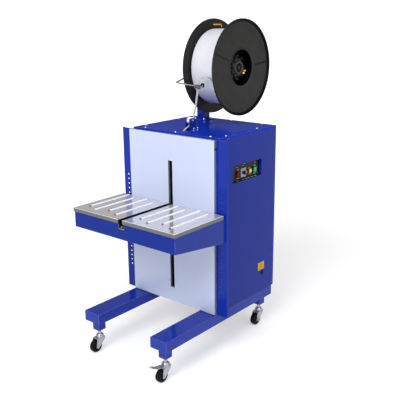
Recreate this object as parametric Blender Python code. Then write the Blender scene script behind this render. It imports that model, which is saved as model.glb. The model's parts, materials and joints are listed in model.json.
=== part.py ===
"""Semi automatic strapping machine: a floor-standing cabinet with a slotted front, a support table
bolted to perforated uprights, a recessed control panel and a strap reel on a post on top.

Metres, +Z up. X runs across the machine (+X is the control side), Y runs from the front to the back,
and the origin is on the floor under the middle of the machine. The dimensions below are measured from
the front face of the uprights; main() moves everything to the middle at the end."""

import math

import bmesh
import bpy
from mathutils import Matrix, Vector

# ---- driving dimensions -------------------------------------------------------------------------
GAP = 0.0003                # clearance between pieces that touch
SHEET = 0.002               # cabinet sheet thickness

BODY_HALF = 0.279           # half width of the cabinet
UPRIGHT_HALF = 0.340        # half width over the perforated uprights
PLATE_HALF = 0.2755         # half width of the pale front plates
BODY_BACK = 0.494           # rear face of the cabinet
DECK = 0.222                # top of the foot beams
UPRIGHT_TOP = 1.097
COVER_TOP = 1.102
COVER_SKIRT = 0.014
COVER_FRONT = 0.019

BEAM_WIDTH = 0.102
BEAM_HEIGHT = 0.054
BEAM_FRONT = -0.3715
BEAM_BACK = 0.482

CASTER_X = 0.228
CASTER_FRONT_Y = -0.3246
CASTER_REAR_Y = 0.434
WHEEL_RADIUS = 0.033
WHEEL_WIDTH = 0.028
CASTER_TRAIL = 0.0295
FORK_TOP = 0.0735
SOCKET_SIDE = 0.046
SOCKET_BOTTOM = 0.1155

PLATE_FRONT = -0.015        # face of the pale front plates
PLATE_SPLIT = 0.700         # joint between the lower and the upper plate, behind the table
SLOT_HALF = 0.0133
SLOT_TOP = 0.967
SLOT_BOTTOM = 0.301

HOLE_X = 0.308
HOLE_PITCH = 0.025
HOLE_COUNT = 21
HOLE_FIRST_Z = 0.353
HOLE_RADIUS = 0.0045

TABLE_HALF = 0.3316
TABLE_FRONT = -0.358
TABLE_BACK = -0.0165
TABLE_TOP = 0.749
TABLE_EDGE = 0.0194         # height of the folded steel edge
FASCIA_BOTTOM = 0.652
TABLE_SIDE_BOTTOM = 0.610   # the sides are deeper towards the uprights
CHANNEL_HALF = 0.0085       # half of the gap between the two table plates
NOTCH_HALF = 0.0187
NOTCH_BOTTOM = 0.704

POCKET_Y = (0.126, 0.370)
POCKET_Z = (0.864, 0.950)
PANEL_FACE = 0.2593         # face of the black control plate
CONTROL_Z = 0.899

LOCK_Y = 0.386
LOCK_Z = 0.324

REEL_Y = 0.420
REEL_Z = 1.389
DISC_RADIUS = 0.2427
NEAR_RIM_X = 0.1125
FAR_RIM_X = -0.0735
COIL_RADIUS = 0.192
CORE_RADIUS = 0.098
POST_X = -0.145
POST_SIDE = 0.050

STRAP_WIDTH = 0.012
STRAP_THICKNESS = 0.0008
STRAP_DROP_Y = 0.068        # the strap falls straight down here, behind the front plates
INLET_ROLLER_RADIUS = 0.0165
INLET_ROLLER_Y = 0.1425
INLET_ROLLER_Z = 1.145
BEND_RADIUS = 0.025         # centre line of the strap where it turns down under the cover
BEND_Z = 1.0742
BEND_START = 115.8          # degrees, where the slanted strap meets the bend

FEED_Z = 0.930
FEED_RADIUS = 0.020
PINCH_RADIUS = 0.018
SHELF_Z = 0.640
MOTOR_Y = 0.270
MOTOR_Z = 0.705
HEAD_PLATE_X = (-0.036, -0.030)

MIDDLE_Y = 0.11705          # middle of the overall depth, from the brake pedal's tip to the reel's rim


# ---- materials ----------------------------------------------------------------------------------
def material(name, colour, metallic=0.0, roughness=0.5):
    made = bpy.data.materials.new(name)
    made.use_nodes = True
    shader = made.node_tree.nodes["Principled BSDF"]
    shader.inputs["Base Color"].default_value = (*colour, 1.0)
    shader.inputs["Metallic"].default_value = metallic
    shader.inputs["Roughness"].default_value = roughness
    made.diffuse_color = (*colour, 1.0)
    return made


# ---- mesh helpers -------------------------------------------------------------------------------
def to_object(name, bm, surface, origin=(0.0, 0.0, 0.0), smooth=False):
    """Turns a bmesh built in world coordinates into an object whose origin is where it is asked."""
    bmesh.ops.translate(bm, verts=bm.verts, vec=-Vector(origin))
    bmesh.ops.recalc_face_normals(bm, faces=bm.faces)
    mesh = bpy.data.meshes.new(name)
    bm.to_mesh(mesh)
    bm.free()
    if smooth:
        mesh.shade_smooth()
        mesh.set_sharp_from_angle(angle=math.radians(35))
    mesh.materials.append(surface)
    made = bpy.data.objects.new(name, mesh)
    made.location = origin
    bpy.context.scene.collection.objects.link(made)
    return made


def add_box(bm, x, y, z):
    centre = Vector((sum(x) / 2, sum(y) / 2, sum(z) / 2))
    size = Vector((abs(x[1] - x[0]), abs(y[1] - y[0]), abs(z[1] - z[0])))
    placed = Matrix.Translation(centre) @ Matrix.Diagonal((*size, 1.0))
    return bmesh.ops.create_cube(bm, size=1.0, matrix=placed)["verts"]


def box(name, x, y, z, surface, origin=(0.0, 0.0, 0.0), bevel=0.0):
    bm = bmesh.new()
    add_box(bm, x, y, z)
    if bevel:
        bmesh.ops.bevel(bm, geom=bm.edges[:], offset=bevel, segments=2, profile=0.5, affect="EDGES")
    return to_object(name, bm, surface, origin)


def turned(name, profile, surface, centre, axis="X", steps=32, smooth=True):
    """A closed profile of (along, radius) points, turned about an axis through centre."""
    turn = {"X": Matrix.Identity(3), "Y": Matrix.Rotation(math.pi / 2, 3, "Z"),
            "Z": Matrix.Rotation(-math.pi / 2, 3, "Y")}[axis]
    bm = bmesh.new()
    rings = []
    for along, radius in profile:
        count = 1 if radius == 0.0 else steps
        ring = []
        for step in range(count):
            angle = 2 * math.pi * step / steps
            local = Vector((along, radius * math.cos(angle), radius * math.sin(angle)))
            ring.append(bm.verts.new(turn @ local + Vector(centre)))
        rings.append(ring)
    for index, ring in enumerate(rings):
        other = rings[(index + 1) % len(rings)]
        for step in range(steps):
            after = (step + 1) % steps
            corners = [ring[step % len(ring)], ring[after % len(ring)],
                       other[after % len(other)], other[step % len(other)]]
            unique = list(dict.fromkeys(corners))
            if len(unique) > 2:
                bm.faces.new(unique)
    return to_object(name, bm, surface, centre, smooth)


def rod(name, radius, ends, surface, centre, axis="X", steps=24):
    low, high = ends
    profile = [(low, 0.0), (low, radius), (high, radius), (high, 0.0)]
    return turned(name, profile, surface, centre, axis, steps)


def prism(name, outline, axis, span, surface, origin=(0.0, 0.0, 0.0)):
    """An outline in the plane across the axis, extruded along it. X takes (y, z), Y (x, z), Z (x, y)."""
    place = {"X": lambda a, b, c: (c, a, b), "Y": lambda a, b, c: (a, c, b),
             "Z": lambda a, b, c: (a, b, c)}[axis]
    bm = bmesh.new()
    face = bm.faces.new([bm.verts.new(place(a, b, span[0])) for a, b in outline])
    moved = bmesh.ops.extrude_face_region(bm, geom=[face])["geom"]
    shift = Vector(place(0.0, 0.0, span[1] - span[0]))
    bmesh.ops.translate(bm, verts=[v for v in moved if isinstance(v, bmesh.types.BMVert)], vec=shift)
    return to_object(name, bm, surface, origin)


def band(points, thickness):
    """The outline of a folded sheet: a polyline and its copy offset to the left, with mitred corners."""
    line = [Vector(point) for point in points]
    inner = []
    for index, point in enumerate(line):
        normals = []
        for near, far in ((index - 1, index), (index, index + 1)):
            if near >= 0 and far < len(line):
                along = (line[far] - line[near]).normalized()
                normals.append(Vector((-along.y, along.x)))
        mitre = sum(normals, Vector((0.0, 0.0))).normalized()
        inner.append(point + mitre * thickness / mitre.dot(normals[0]))
    return [tuple(point) for point in line + inner[::-1]]


def combine(target, tool, operation="DIFFERENCE"):
    """Cuts a tool from the target, or joins it to it, and removes the tool."""
    tool.hide_render = True
    tool.display_type = "WIRE"
    cut = target.modifiers.new(operation.lower(), "BOOLEAN")
    cut.operation = operation
    cut.solver = "EXACT"
    cut.object = tool
    bpy.context.view_layer.update()
    graph = bpy.context.evaluated_depsgraph_get()
    mesh = bpy.data.meshes.new_from_object(target.evaluated_get(graph))
    target.modifiers.clear()
    target.data = mesh
    bpy.data.objects.remove(tool)
    return target


def boxes(name, spans, surface):
    """Several separate boxes in one tool object."""
    bm = bmesh.new()
    for x, y, z in spans:
        add_box(bm, x, y, z)
    return to_object(name, bm, surface)


def mirrored(side, low, high):
    """A span in X on the side asked for: +1 is right and -1 is left."""
    return (low, high) if side > 0 else (-high, -low)


# ---- base ---------------------------------------------------------------------------------------
def foot_beam(side, name, paint):
    wall = 0.003
    x = mirrored(side, BODY_HALF - 0.001 - BEAM_WIDTH, BODY_HALF - 0.001)
    y = (BEAM_FRONT, BEAM_BACK)
    z = (DECK - BEAM_HEIGHT, DECK)
    beam = box(name, x, y, z, paint, bevel=0.0025)
    hollow = box("hollow", (x[0] + wall, x[1] - wall), (y[0] + wall, y[1] - wall),
                 (z[0] + wall, z[1] - wall), paint)
    combine(beam, hollow)
    drain = rod("drain", 0.006, (-0.006, 0.006), paint, (sum(x) / 2, 0.06, z[0]), "Z", 12)
    return combine(beam, drain)


def caster_socket(name, x, y, paint):
    half = SOCKET_SIDE / 2
    top = DECK - BEAM_HEIGHT - GAP
    return box(name, (x - half, x + half), (y - half, y + half), (SOCKET_BOTTOM, top), paint,
               bevel=0.002)


def caster_fork(name, x, y, zinc):
    """A folded fork with a side outline that leans back to the axle, a ball race and a stem on top."""
    inner = WHEEL_WIDTH / 2 + 0.0022
    outer = inner + 0.0024
    low = 0.018
    fork_front = [(x - outer, low), (x - outer, FORK_TOP), (x + outer, FORK_TOP), (x + outer, low),
                  (x + inner, low), (x + inner, FORK_TOP - 0.003), (x - inner, FORK_TOP - 0.003),
                  (x - inner, low)]
    fork = prism(name, fork_front, "Y", (y - 0.052, y + 0.030), zinc, (x, y, 0.0))
    axle_y = y - CASTER_TRAIL
    foot = 0.0115
    arc = [(axle_y + foot * math.cos(a), WHEEL_RADIUS + foot * math.sin(a))
           for a in [math.radians(200 + 22 * step) for step in range(7)]]
    side = [(y + 0.021, FORK_TOP + 0.001), (y - 0.029, FORK_TOP + 0.001), (y - 0.036, 0.058), *arc,
            (y + 0.016, 0.060)]
    combine(fork, prism("side_outline", side, "X", (x - 0.04, x + 0.04), zinc), "INTERSECT")
    stem = SOCKET_BOTTOM - GAP - FORK_TOP
    race = [(-0.001, 0.0), (-0.001, 0.0198), (0.009, 0.0198), (0.017, 0.0150), (0.017, 0.0085),
            (stem, 0.0085), (stem, 0.0)]
    combine(fork, turned("race", race, zinc, (x, y, FORK_TOP), "Z", 16), "UNION")
    pin = [(-outer - 0.003, 0.0), (-outer - 0.003, 0.0075), (-outer + 0.0005, 0.0075),
           (-outer + 0.0005, 0.004), (outer - 0.0005, 0.004), (outer - 0.0005, 0.0075),
           (outer + 0.003, 0.0075), (outer + 0.003, 0.0)]
    return combine(fork, turned("axle", pin, zinc, (x, axle_y, WHEEL_RADIUS), "X", 10), "UNION")


def caster_wheel(name, x, y, rubber):
    half = WHEEL_WIDTH / 2
    bore = 0.0045
    rim = WHEEL_RADIUS
    profile = [(-half, bore), (-half, 0.010), (-half + 0.001, rim - 0.005), (-half + 0.005, rim),
               (half - 0.005, rim), (half - 0.001, rim - 0.005), (half, 0.010), (half, bore)]
    return turned(name, profile, rubber, (x, y - CASTER_TRAIL, WHEEL_RADIUS), "X", 24)


def brake_pedal(x, y, zinc):
    """A bent foot pedal hinged above the fork, resting tilted up."""
    pivot = (x, y - 0.0265, FORK_TOP + 0.0035)
    outline = [(0.0030, -0.0018), (0.0030, 0.0018), (-0.004, 0.0040), (-0.040, 0.0110),
               (-0.069, 0.0255), (-0.0755, 0.0298), (-0.0775, 0.0280), (-0.071, 0.0232),
               (-0.041, 0.0086), (-0.005, 0.0012), (-0.0030, -0.0018)]
    placed = [(pivot[1] + a, pivot[2] + b) for a, b in outline]
    return prism("brake_pedal", placed, "X", (x - 0.015, x + 0.015), zinc, pivot)


def build_base(paint, zinc, rubber):
    for side, word in ((-1, "left"), (1, "right")):
        foot_beam(side, f"foot_beam_{word}", paint)
        for end, y in (("front", CASTER_FRONT_Y), ("rear", CASTER_REAR_Y)):
            x = side * CASTER_X
            caster_socket(f"caster_socket_{end}_{word}", x, y, paint)
            caster_fork(f"caster_fork_{end}_{word}", x, y, zinc)
            caster_wheel(f"caster_wheel_{end}_{word}", x, y, rubber)
    brake_pedal(CASTER_X, CASTER_FRONT_Y, zinc)


# ---- cabinet ------------------------------------------------------------------------------------
def side_panel(side, name, paint):
    """A folded sheet with a return at its front and rear edges."""
    inner = BODY_HALF - 0.017
    line = [(inner, BEAM_BACK), (BODY_HALF, BEAM_BACK), (BODY_HALF, 0.0028), (inner, 0.0028)]
    flat = band(line[::-1], SHEET)
    if side < 0:
        flat = [(-x, y) for x, y in flat]
    top = COVER_TOP - COVER_SKIRT - GAP
    return prism(name, flat, "Z", (DECK + GAP, top), paint)


def upright(side, name, paint):
    """The perforated angle that the table is bolted to, with a return along its outer edge."""
    line = [(0.245, 0.0), (UPRIGHT_HALF, 0.0), (UPRIGHT_HALF, 0.015)]
    flat = band(line, 0.0025)
    if side < 0:
        flat = [(-x, y) for x, y in flat]
    made = prism(name, flat, "Z", (DECK + GAP, UPRIGHT_TOP), paint)
    bm = bmesh.new()
    for number in range(HOLE_COUNT):
        z = HOLE_FIRST_Z + HOLE_PITCH * number
        placed = Matrix.Translation((side * HOLE_X, 0.0, z)) @ Matrix.Rotation(math.pi / 2, 4, "X")
        bmesh.ops.create_cone(bm, cap_ends=True, segments=8, radius1=HOLE_RADIUS,
                              radius2=HOLE_RADIUS, depth=0.02, matrix=placed)
    return combine(made, to_object("holes", bm, paint))


def front_plate(name, z, slot, steel):
    """A shallow tray facing forward, with folded edges and a collar around its strap slot."""
    wall = SHEET
    x = (-PLATE_HALF, PLATE_HALF)
    back = -GAP
    collar = SLOT_HALF + wall
    plate = box(name, x, (PLATE_FRONT, back), z, steel)
    side = PLATE_HALF - wall
    low = z[0] + wall
    high = z[1] - wall
    if slot[1] < z[1]:
        end = slot[1] + wall
        outline = [(-side, low), (-collar, low), (-collar, end), (collar, end), (collar, low),
                   (side, low), (side, high), (-side, high)]
    else:
        end = slot[0] - wall
        outline = [(-side, low), (side, low), (side, high), (collar, high), (collar, end),
                   (-collar, end), (-collar, high), (-side, high)]
    combine(plate, prism("pocket", outline, "Y", (PLATE_FRONT + wall, 0.01), steel))
    opening = ((-SLOT_HALF, SLOT_HALF), (PLATE_FRONT - 0.01, 0.01), slot)
    return combine(plate, boxes("slot", [opening], steel))


def top_cover(paint):
    x = (-BODY_HALF, BODY_HALF)
    y = (COVER_FRONT, BODY_BACK)
    z = (COVER_TOP - COVER_SKIRT, COVER_TOP)
    cover = box("top_cover", x, y, z, paint)
    under = ((x[0] + SHEET, x[1] - SHEET), (y[0] + SHEET, y[1] - SHEET), (z[0] - 0.01, z[1] - SHEET))
    combine(cover, boxes("under", [under], paint))
    opening = ((-0.021, 0.021), (0.072, 0.132), (z[0], z[1] + 0.01))
    return combine(cover, boxes("opening", [opening], paint))


def rear_panel(paint):
    """A screwed-on tray with two rows of ventilation slots and a hole for the cable gland."""
    x = (-BODY_HALF, BODY_HALF)
    y = (BEAM_BACK + GAP, BODY_BACK)
    z = (DECK + GAP, COVER_TOP - COVER_SKIRT - GAP)
    panel = box("rear_panel", x, y, z, paint)
    tray = ((x[0] + SHEET, x[1] - SHEET), (y[0] - 0.01, y[1] - SHEET), (z[0] + SHEET, z[1] - SHEET))
    combine(panel, boxes("tray", [tray], paint))
    vents = []
    for row in (0.36, 0.90):
        for step in range(6):
            height = row + 0.018 * step
            vents.append(((-0.07, 0.07), (y[1] - 0.01, y[1] + 0.01), (height, height + 0.006)))
    combine(panel, boxes("vents", vents, paint))
    hole = rod("hole", 0.0085, (-0.01, 0.01), paint, (-0.2, BODY_BACK, 0.29), "Y", 16)
    return combine(panel, hole)


def cable_gland(plastic):
    """Thread through the rear panel, hexagon flange, dome nut and the bore that a mains cable takes."""
    profile = [(-0.014, 0.004), (-0.014, 0.0082), (GAP, 0.0082), (GAP, 0.013), (0.007, 0.013),
               (0.008, 0.0115), (0.018, 0.0108), (0.022, 0.008), (0.022, 0.004)]
    return turned("cable_gland", profile, plastic, (-0.2, BODY_BACK, 0.29), "Y", 12, smooth=False)


def header_rail(paint):
    line = [(0.0028, 1.055), (0.0028, UPRIGHT_TOP), (COVER_FRONT - GAP, UPRIGHT_TOP)]
    outline = band(line[::-1], SHEET)
    return prism("header_rail", outline, "X", (-BODY_HALF + 0.0175, BODY_HALF - 0.0175), paint)


def strap_guide(plastic):
    """The black channel behind the slot that leads the strap up and down the front."""
    line = [(0.022, 0.0), (0.022, 0.024), (-0.022, 0.024), (-0.022, 0.0)]
    return prism("strap_guide", band(line, 0.004), "Z", (0.294, 0.975), plastic)


def build_cabinet(paint, steel, plastic, liner):
    box("floor_plate", (-0.2767, 0.2767), (0.0052, 0.4795), (DECK + GAP, DECK + GAP + SHEET), liner)
    side_panel(-1, "side_panel_left", paint)
    right = side_panel(1, "side_panel_right", paint)
    mouth = ((BODY_HALF - 0.01, BODY_HALF + 0.01), POCKET_Y, POCKET_Z)
    combine(right, boxes("mouth", [mouth], paint))
    combine(right, rod("lock_hole", 0.0093, (-0.01, 0.01), paint, (BODY_HALF, LOCK_Y, LOCK_Z), "X", 16))
    rear_panel(paint)
    top_cover(paint)
    header_rail(paint)
    upright(-1, "upright_left", paint)
    upright(1, "upright_right", paint)
    front_plate("front_plate_upper", (PLATE_SPLIT + GAP, UPRIGHT_TOP), (PLATE_SPLIT - 0.01, SLOT_TOP),
                steel)
    front_plate("front_plate_lower", (DECK + 0.003, PLATE_SPLIT), (SLOT_BOTTOM, PLATE_SPLIT + 0.01),
                steel)
    strap_guide(plastic)
    cable_gland(plastic)


# ---- controls -----------------------------------------------------------------------------------
def control_pocket(paint):
    wall = 0.0015
    inner_back = PANEL_FACE - SHEET - GAP
    outer = ((inner_back - wall, BODY_HALF - SHEET - GAP), (POCKET_Y[0] - wall, POCKET_Y[1] + wall),
             (POCKET_Z[0] - wall, POCKET_Z[1] + wall))
    pocket = boxes("control_pocket", [outer], paint)
    return combine(pocket, boxes("room", [((inner_back, BODY_HALF), POCKET_Y, POCKET_Z)], paint))


def control_plate(plastic):
    """A black plate on the pocket's back wall with a ledge that covers its bottom wall."""
    back = PANEL_FACE - SHEET
    front = BODY_HALF - GAP
    low = POCKET_Z[0] + GAP
    high = POCKET_Z[1] - GAP
    outline = [(back, low), (front, low), (front, low + 0.0015), (PANEL_FACE, low + 0.0015),
               (PANEL_FACE, high), (back, high)]
    return prism("control_plate", outline, "Y", (POCKET_Y[0] + GAP, POCKET_Y[1] - GAP), plastic)


def power_rocker(plastic):
    """A shallow V pivoted in its middle; at rest its lower half is pressed in."""
    half = 0.015
    foot = PANEL_FACE + GAP
    low = [(-half, 0.0030), (0.0, 0.0), (half, 0.0030)]
    high = [(half, 0.0090), (0.0, 0.0062), (-half, 0.0090)]
    lean = math.radians(8)
    outline = [(foot + rise * math.cos(lean) + along * math.sin(lean),
                CONTROL_Z + along * math.cos(lean) - rise * math.sin(lean)) for along, rise in low + high]
    centre_y = 0.187
    pivot = (foot, centre_y, CONTROL_Z)
    return prism("power_rocker", outline, "Y", (centre_y - 0.011, centre_y + 0.011), plastic, pivot)


def selector(plate_metal, plastic):
    plate = ((PANEL_FACE + GAP, PANEL_FACE + 0.0028), (0.2130, 0.2562), (0.877, 0.921))
    boxes("selector_plate", [plate], plate_metal)
    face = plate[0][1] + GAP
    centre = (face, 0.2315, CONTROL_Z)
    profile = [(0.0, 0.0), (0.0, 0.0088), (0.004, 0.0088), (0.009, 0.0080), (0.009, 0.0)]
    knob = turned("selector_knob", profile, plastic, centre, "X", 20)
    grip = boxes("grip", [((face + 0.008, face + 0.014), (0.2290, 0.2340),
                           (CONTROL_Z - 0.0072, CONTROL_Z + 0.0072))], plastic)
    return combine(knob, grip, "UNION")


def push_button(name, centre_y, half, face, surface, is_round):
    centre = (face, centre_y, CONTROL_Z)
    height = 0.0095
    lift = 0.0045
    if is_round:
        profile = [(lift, 0.0), (lift, half), (height - 0.001, half), (height, half - 0.0015),
                   (height, 0.0)]
        return turned(name, profile, surface, centre, "X", 20)
    return box(name, (face + lift, face + height), (centre_y - half, centre_y + half),
               (CONTROL_Z - half, CONTROL_Z + half), surface, centre, bevel=0.0012)


def panel_lock(metal):
    """Quarter-turn barrel in the side panel with its latch tongue inside."""
    centre = (BODY_HALF, LOCK_Y, LOCK_Z)
    profile = [(-0.020, 0.0), (-0.020, 0.009), (GAP, 0.009), (GAP, 0.0115), (0.0025, 0.0115),
               (0.0035, 0.0100), (0.0035, 0.0)]
    lock = turned("panel_lock", profile, metal, centre, "X", 20)
    tongue = boxes("tongue", [((BODY_HALF - 0.019, BODY_HALF - 0.016), (LOCK_Y - 0.007, LOCK_Y + 0.007),
                               (LOCK_Z - 0.040, LOCK_Z))], metal)
    return combine(lock, tongue, "UNION")


def build_controls(paint, panel_black, plate_metal, colours):
    control_pocket(paint)
    control_plate(panel_black)
    power_rocker(colours["rocker"])
    selector(plate_metal, colours["knob"])
    on_grey = PANEL_FACE + 0.0028
    push_button("button_red", 0.2485, 0.0075, on_grey, colours["red"], True)
    push_button("button_yellow", 0.285, 0.0115, PANEL_FACE, colours["yellow"], False)
    push_button("button_green", 0.325, 0.0150, PANEL_FACE, colours["green"], False)
    panel_lock(colours["lock"])


# ---- table --------------------------------------------------------------------------------------
def table_frame(paint):
    """A bottomless folded box with tapered sides, a strap notch front and rear, and fixing lugs."""
    half = TABLE_HALF - 0.003
    front = TABLE_FRONT + 0.0035
    top = TABLE_TOP - TABLE_EDGE - GAP
    side = [(front, FASCIA_BOTTOM), (front, top), (TABLE_BACK, top), (TABLE_BACK, TABLE_SIDE_BOTTOM)]
    frame = prism("table_frame", side, "X", (-half, half), paint)
    inside = ((-half + SHEET, half - SHEET), (front + SHEET, TABLE_BACK - SHEET), (0.5, 0.8))
    combine(frame, boxes("inside", [inside], paint))
    notch = ((-NOTCH_HALF, NOTCH_HALF), (TABLE_FRONT, 0.0), (NOTCH_BOTTOM, 0.8))
    combine(frame, boxes("notch", [notch], paint))
    for sign in (-1, 1):
        lug = (mirrored(sign, 0.2835, half), (TABLE_BACK - 0.001, -GAP), (0.6125, top - 0.002))
        combine(frame, boxes("lug", [lug], paint), "UNION")
    return frame


def table_plate(side, name, steel):
    """A polished tray turned upside down: flat top with folded edges all round."""
    wall = 0.0015
    x = mirrored(side, CHANNEL_HALF, TABLE_HALF)
    y = (TABLE_FRONT, TABLE_BACK)
    z = (TABLE_TOP - TABLE_EDGE, TABLE_TOP)
    plate = box(name, x, y, z, steel)
    under = ((x[0] + wall, x[1] - wall), (y[0] + wall, y[1] - wall), (z[0] - 0.01, z[1] - wall))
    return combine(plate, boxes("under", [under], steel))


def strap_channel(plastic):
    y = (TABLE_FRONT + 0.006, TABLE_BACK)
    z = (NOTCH_BOTTOM + GAP, TABLE_TOP - TABLE_EDGE - GAP)
    channel = box("strap_channel", (-NOTCH_HALF + GAP, NOTCH_HALF - GAP), y, z, plastic)
    groove = ((-0.0068, 0.0068), (y[0] - 0.01, y[1] + 0.01), (z[1] - 0.010, z[1] + 0.01))
    return combine(channel, boxes("groove", [groove], plastic))


# ---- reel ---------------------------------------------------------------------------------------
def reel_post(paint):
    half = POST_SIDE / 2
    plate = 0.040
    foot = COVER_TOP + GAP
    post = box("reel_post", (POST_X - plate, POST_X + plate), (REEL_Y - plate, REEL_Y + plate),
               (foot, foot + 0.004), paint, (POST_X, REEL_Y, foot))
    tube = box("tube", (POST_X - half, POST_X + half), (REEL_Y - half, REEL_Y + half),
               (foot + 0.002, REEL_Z + 0.032), paint, bevel=0.003)
    combine(post, tube, "UNION")
    inner = half - 0.003
    hollow = box("hollow", (POST_X - inner, POST_X + inner), (REEL_Y - inner, REEL_Y + inner),
                 (foot - 0.01, REEL_Z + 0.029), paint)
    return combine(post, hollow)


def reel_spindle(metal):
    """Fixed shaft with the shoulder that the guide arm turns on."""
    root = POST_X + POST_SIDE / 2 + GAP
    profile = [(root, 0.0), (root, 0.020), (root + 0.009, 0.020), (root + 0.009, 0.028),
               (-0.080, 0.028), (-0.080, 0.0152), (0.090, 0.0152), (0.092, 0.0130), (0.092, 0.0)]
    return turned("reel_spindle", profile, metal, (0.0, REEL_Y, REEL_Z), "X", 24)


def far_disc(plastic):
    rim = DISC_RADIUS
    x = FAR_RIM_X
    profile = [(x + 0.0032, 0.0225), (x + 0.0062, 0.0225), (x + 0.0062, 0.105), (x + 0.004, rim - 0.006),
               (x + 0.004, rim), (x - 0.005, rim), (x - 0.005, rim - 0.006), (x + 0.0032, 0.105)]
    return turned("far_disc", profile, plastic, (0.0, REEL_Y, REEL_Z), "X", 40)


def near_disc(plastic):
    """A plate with a rolled rim and a deep cup in its middle for the clamp nut."""
    rim = DISC_RADIUS
    x = NEAR_RIM_X
    cup = 0.060
    profile = [(cup, 0.0223), (cup, 0.0925), (x - 0.0065, 0.0925), (x - 0.0065, 0.105),
               (x - 0.004, rim - 0.006), (x - 0.004, rim), (x + 0.005, rim), (x + 0.005, rim - 0.006),
               (x - 0.0035, 0.105), (x - 0.0035, 0.0905), (cup + 0.003, 0.0905),
               (cup + 0.003, 0.0223)]
    return turned("near_disc", profile, plastic, (0.0, REEL_Y, REEL_Z), "X", 40)


def reel_core(plastic):
    """Drum, web and sleeve: the sleeve runs on the spindle and carries the clamp nut's thread."""
    left = FAR_RIM_X + 0.0062 + GAP
    right = NEAR_RIM_X - 0.0065 - GAP
    profile = [(left, 0.0156), (left, CORE_RADIUS), (right, CORE_RADIUS), (right, CORE_RADIUS - 0.003),
               (left + 0.006, CORE_RADIUS - 0.003), (left + 0.006, 0.022), (0.086, 0.022),
               (0.086, 0.0156)]
    return turned("reel_core", profile, plastic, (0.0, REEL_Y, REEL_Z), "X", 40)


def strap_coil(strap):
    low = FAR_RIM_X + 0.009
    high = NEAR_RIM_X - 0.009
    inner = CORE_RADIUS + GAP
    profile = [(low, inner), (low, COIL_RADIUS), (high, COIL_RADIUS), (high, inner)]
    return turned("strap_coil", profile, strap, (0.0, REEL_Y, REEL_Z), "X", 40)


def clamp_nut(plastic):
    """A star nut with eight lobes, screwed on the reel's sleeve inside the cup."""
    points = []
    for step in range(48):
        angle = 2 * math.pi * step / 48
        radius = 0.0555 + 0.0075 * math.cos(8 * angle)
        points.append((REEL_Y + radius * math.cos(angle), REEL_Z + radius * math.sin(angle)))
    centre = (0.0635, REEL_Y, REEL_Z)
    nut = prism("clamp_nut", points, "X", (0.0635, 0.084), plastic, centre)
    hub = rod("hub", 0.034, (-0.0001, 0.031), plastic, centre, "X", 24)
    combine(nut, hub, "UNION")
    return combine(nut, rod("bore", 0.0223, (-0.01, 0.05), plastic, centre, "X", 24))


def swept(name, path, section, surface, origin):
    """Sweeps a section, given as (across, up) points, along a path whose across direction is near X."""
    bm = bmesh.new()
    rings = []
    for index, point in enumerate(path):
        before = path[max(index - 1, 0)]
        after = path[min(index + 1, len(path) - 1)]
        along = (Vector(after) - Vector(before)).normalized()
        across = Vector((1.0, 0.0, 0.0))
        if abs(along.x) > 0.8:
            across = Vector((0.0, 0.0, 1.0))
        across = (across - along * across.dot(along)).normalized()
        up = along.cross(across)
        rings.append([bm.verts.new(Vector(point) + across * a + up * b) for a, b in section])
    for ring, other in zip(rings, rings[1:]):
        for corner in range(len(section)):
            after = (corner + 1) % len(section)
            bm.faces.new((ring[corner], ring[after], other[after], other[corner]))
    bm.faces.new(rings[0])
    bm.faces.new(rings[-1])
    return to_object(name, bm, surface, origin)


def guide_arm(metal):
    """A ring on the spindle's shoulder, a radial wire to the front and a bar along the coil."""
    plane = POST_X + POST_SIDE / 2 + GAP + 0.0045
    centre = (plane, REEL_Y, REEL_Z)
    ring = [(-0.0038, 0.0205), (-0.0038, 0.030), (0.0038, 0.030), (0.0038, 0.0205)]
    arm = turned("guide_arm", ring, metal, centre, "X", 24)
    wire = 0.0040
    corner = Vector((plane, 0.168, 1.322))
    tip = Vector((0.047, 0.176, 1.309))
    out = (corner - Vector(centre)).normalized()
    radial = boxes("radial", [((-wire, wire), (0.0, (corner - Vector(centre)).length - 0.026),
                               (-wire, wire))], metal)
    angle = math.atan2(out.z, out.y)
    radial.matrix_world = Matrix.Translation(Vector(centre) + out * 0.026) @ Matrix.Rotation(angle, 4, "X")
    combine(arm, radial, "UNION")
    bar = boxes("bar", [((-wire, (tip - corner).length + 0.004), (-wire, wire), (-wire, wire))], metal)
    turn = (tip - corner).to_track_quat("X", "Z").to_matrix().to_4x4()
    bar.matrix_world = Matrix.Translation(corner) @ turn
    combine(arm, bar, "UNION")
    hook = [(-wire, 0.004), (-wire, 0.0095), (wire, 0.0095), (wire, 0.004)]
    eye = turned("eye", hook, metal, (tip.x + 0.006, tip.y, tip.z), "Z", 16)
    return combine(arm, eye, "UNION")


def strap_route():
    """Centre line of the strap: coil, behind the guide bar, behind and under the inlet roller, down."""
    path = [(0.066, 0.2345, 1.3320), (0.062, 0.2290, 1.3440), (0.054, 0.2170, 1.3530),
            (0.045, 0.2040, 1.3545), (0.036, 0.1930, 1.3480), (0.029, 0.1860, 1.3370),
            (0.023, 0.1820, 1.3200), (0.019, 0.1790, 1.2925), (0.0155, 0.1720, 1.2450),
            (0.011, 0.1675, 1.2000), (0.008, 0.1652, 1.1830), (0.004, 0.1622, 1.1650)]
    wrap = INLET_ROLLER_RADIUS + GAP + STRAP_THICKNESS / 2
    for step in range(8):
        angle = math.radians(-(180 - BEND_START) * step / 7)
        path.append((0.0, INLET_ROLLER_Y + wrap * math.cos(angle), INLET_ROLLER_Z + wrap * math.sin(angle)))
    for step in range(8):
        angle = math.radians(BEND_START + (180 - BEND_START) * step / 7)
        path.append((0.0, STRAP_DROP_Y + BEND_RADIUS * (1 + math.cos(angle)),
                     BEND_Z + BEND_RADIUS * math.sin(angle)))
    path.append((0.0, STRAP_DROP_Y, FEED_Z - 0.006))
    return path


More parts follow.
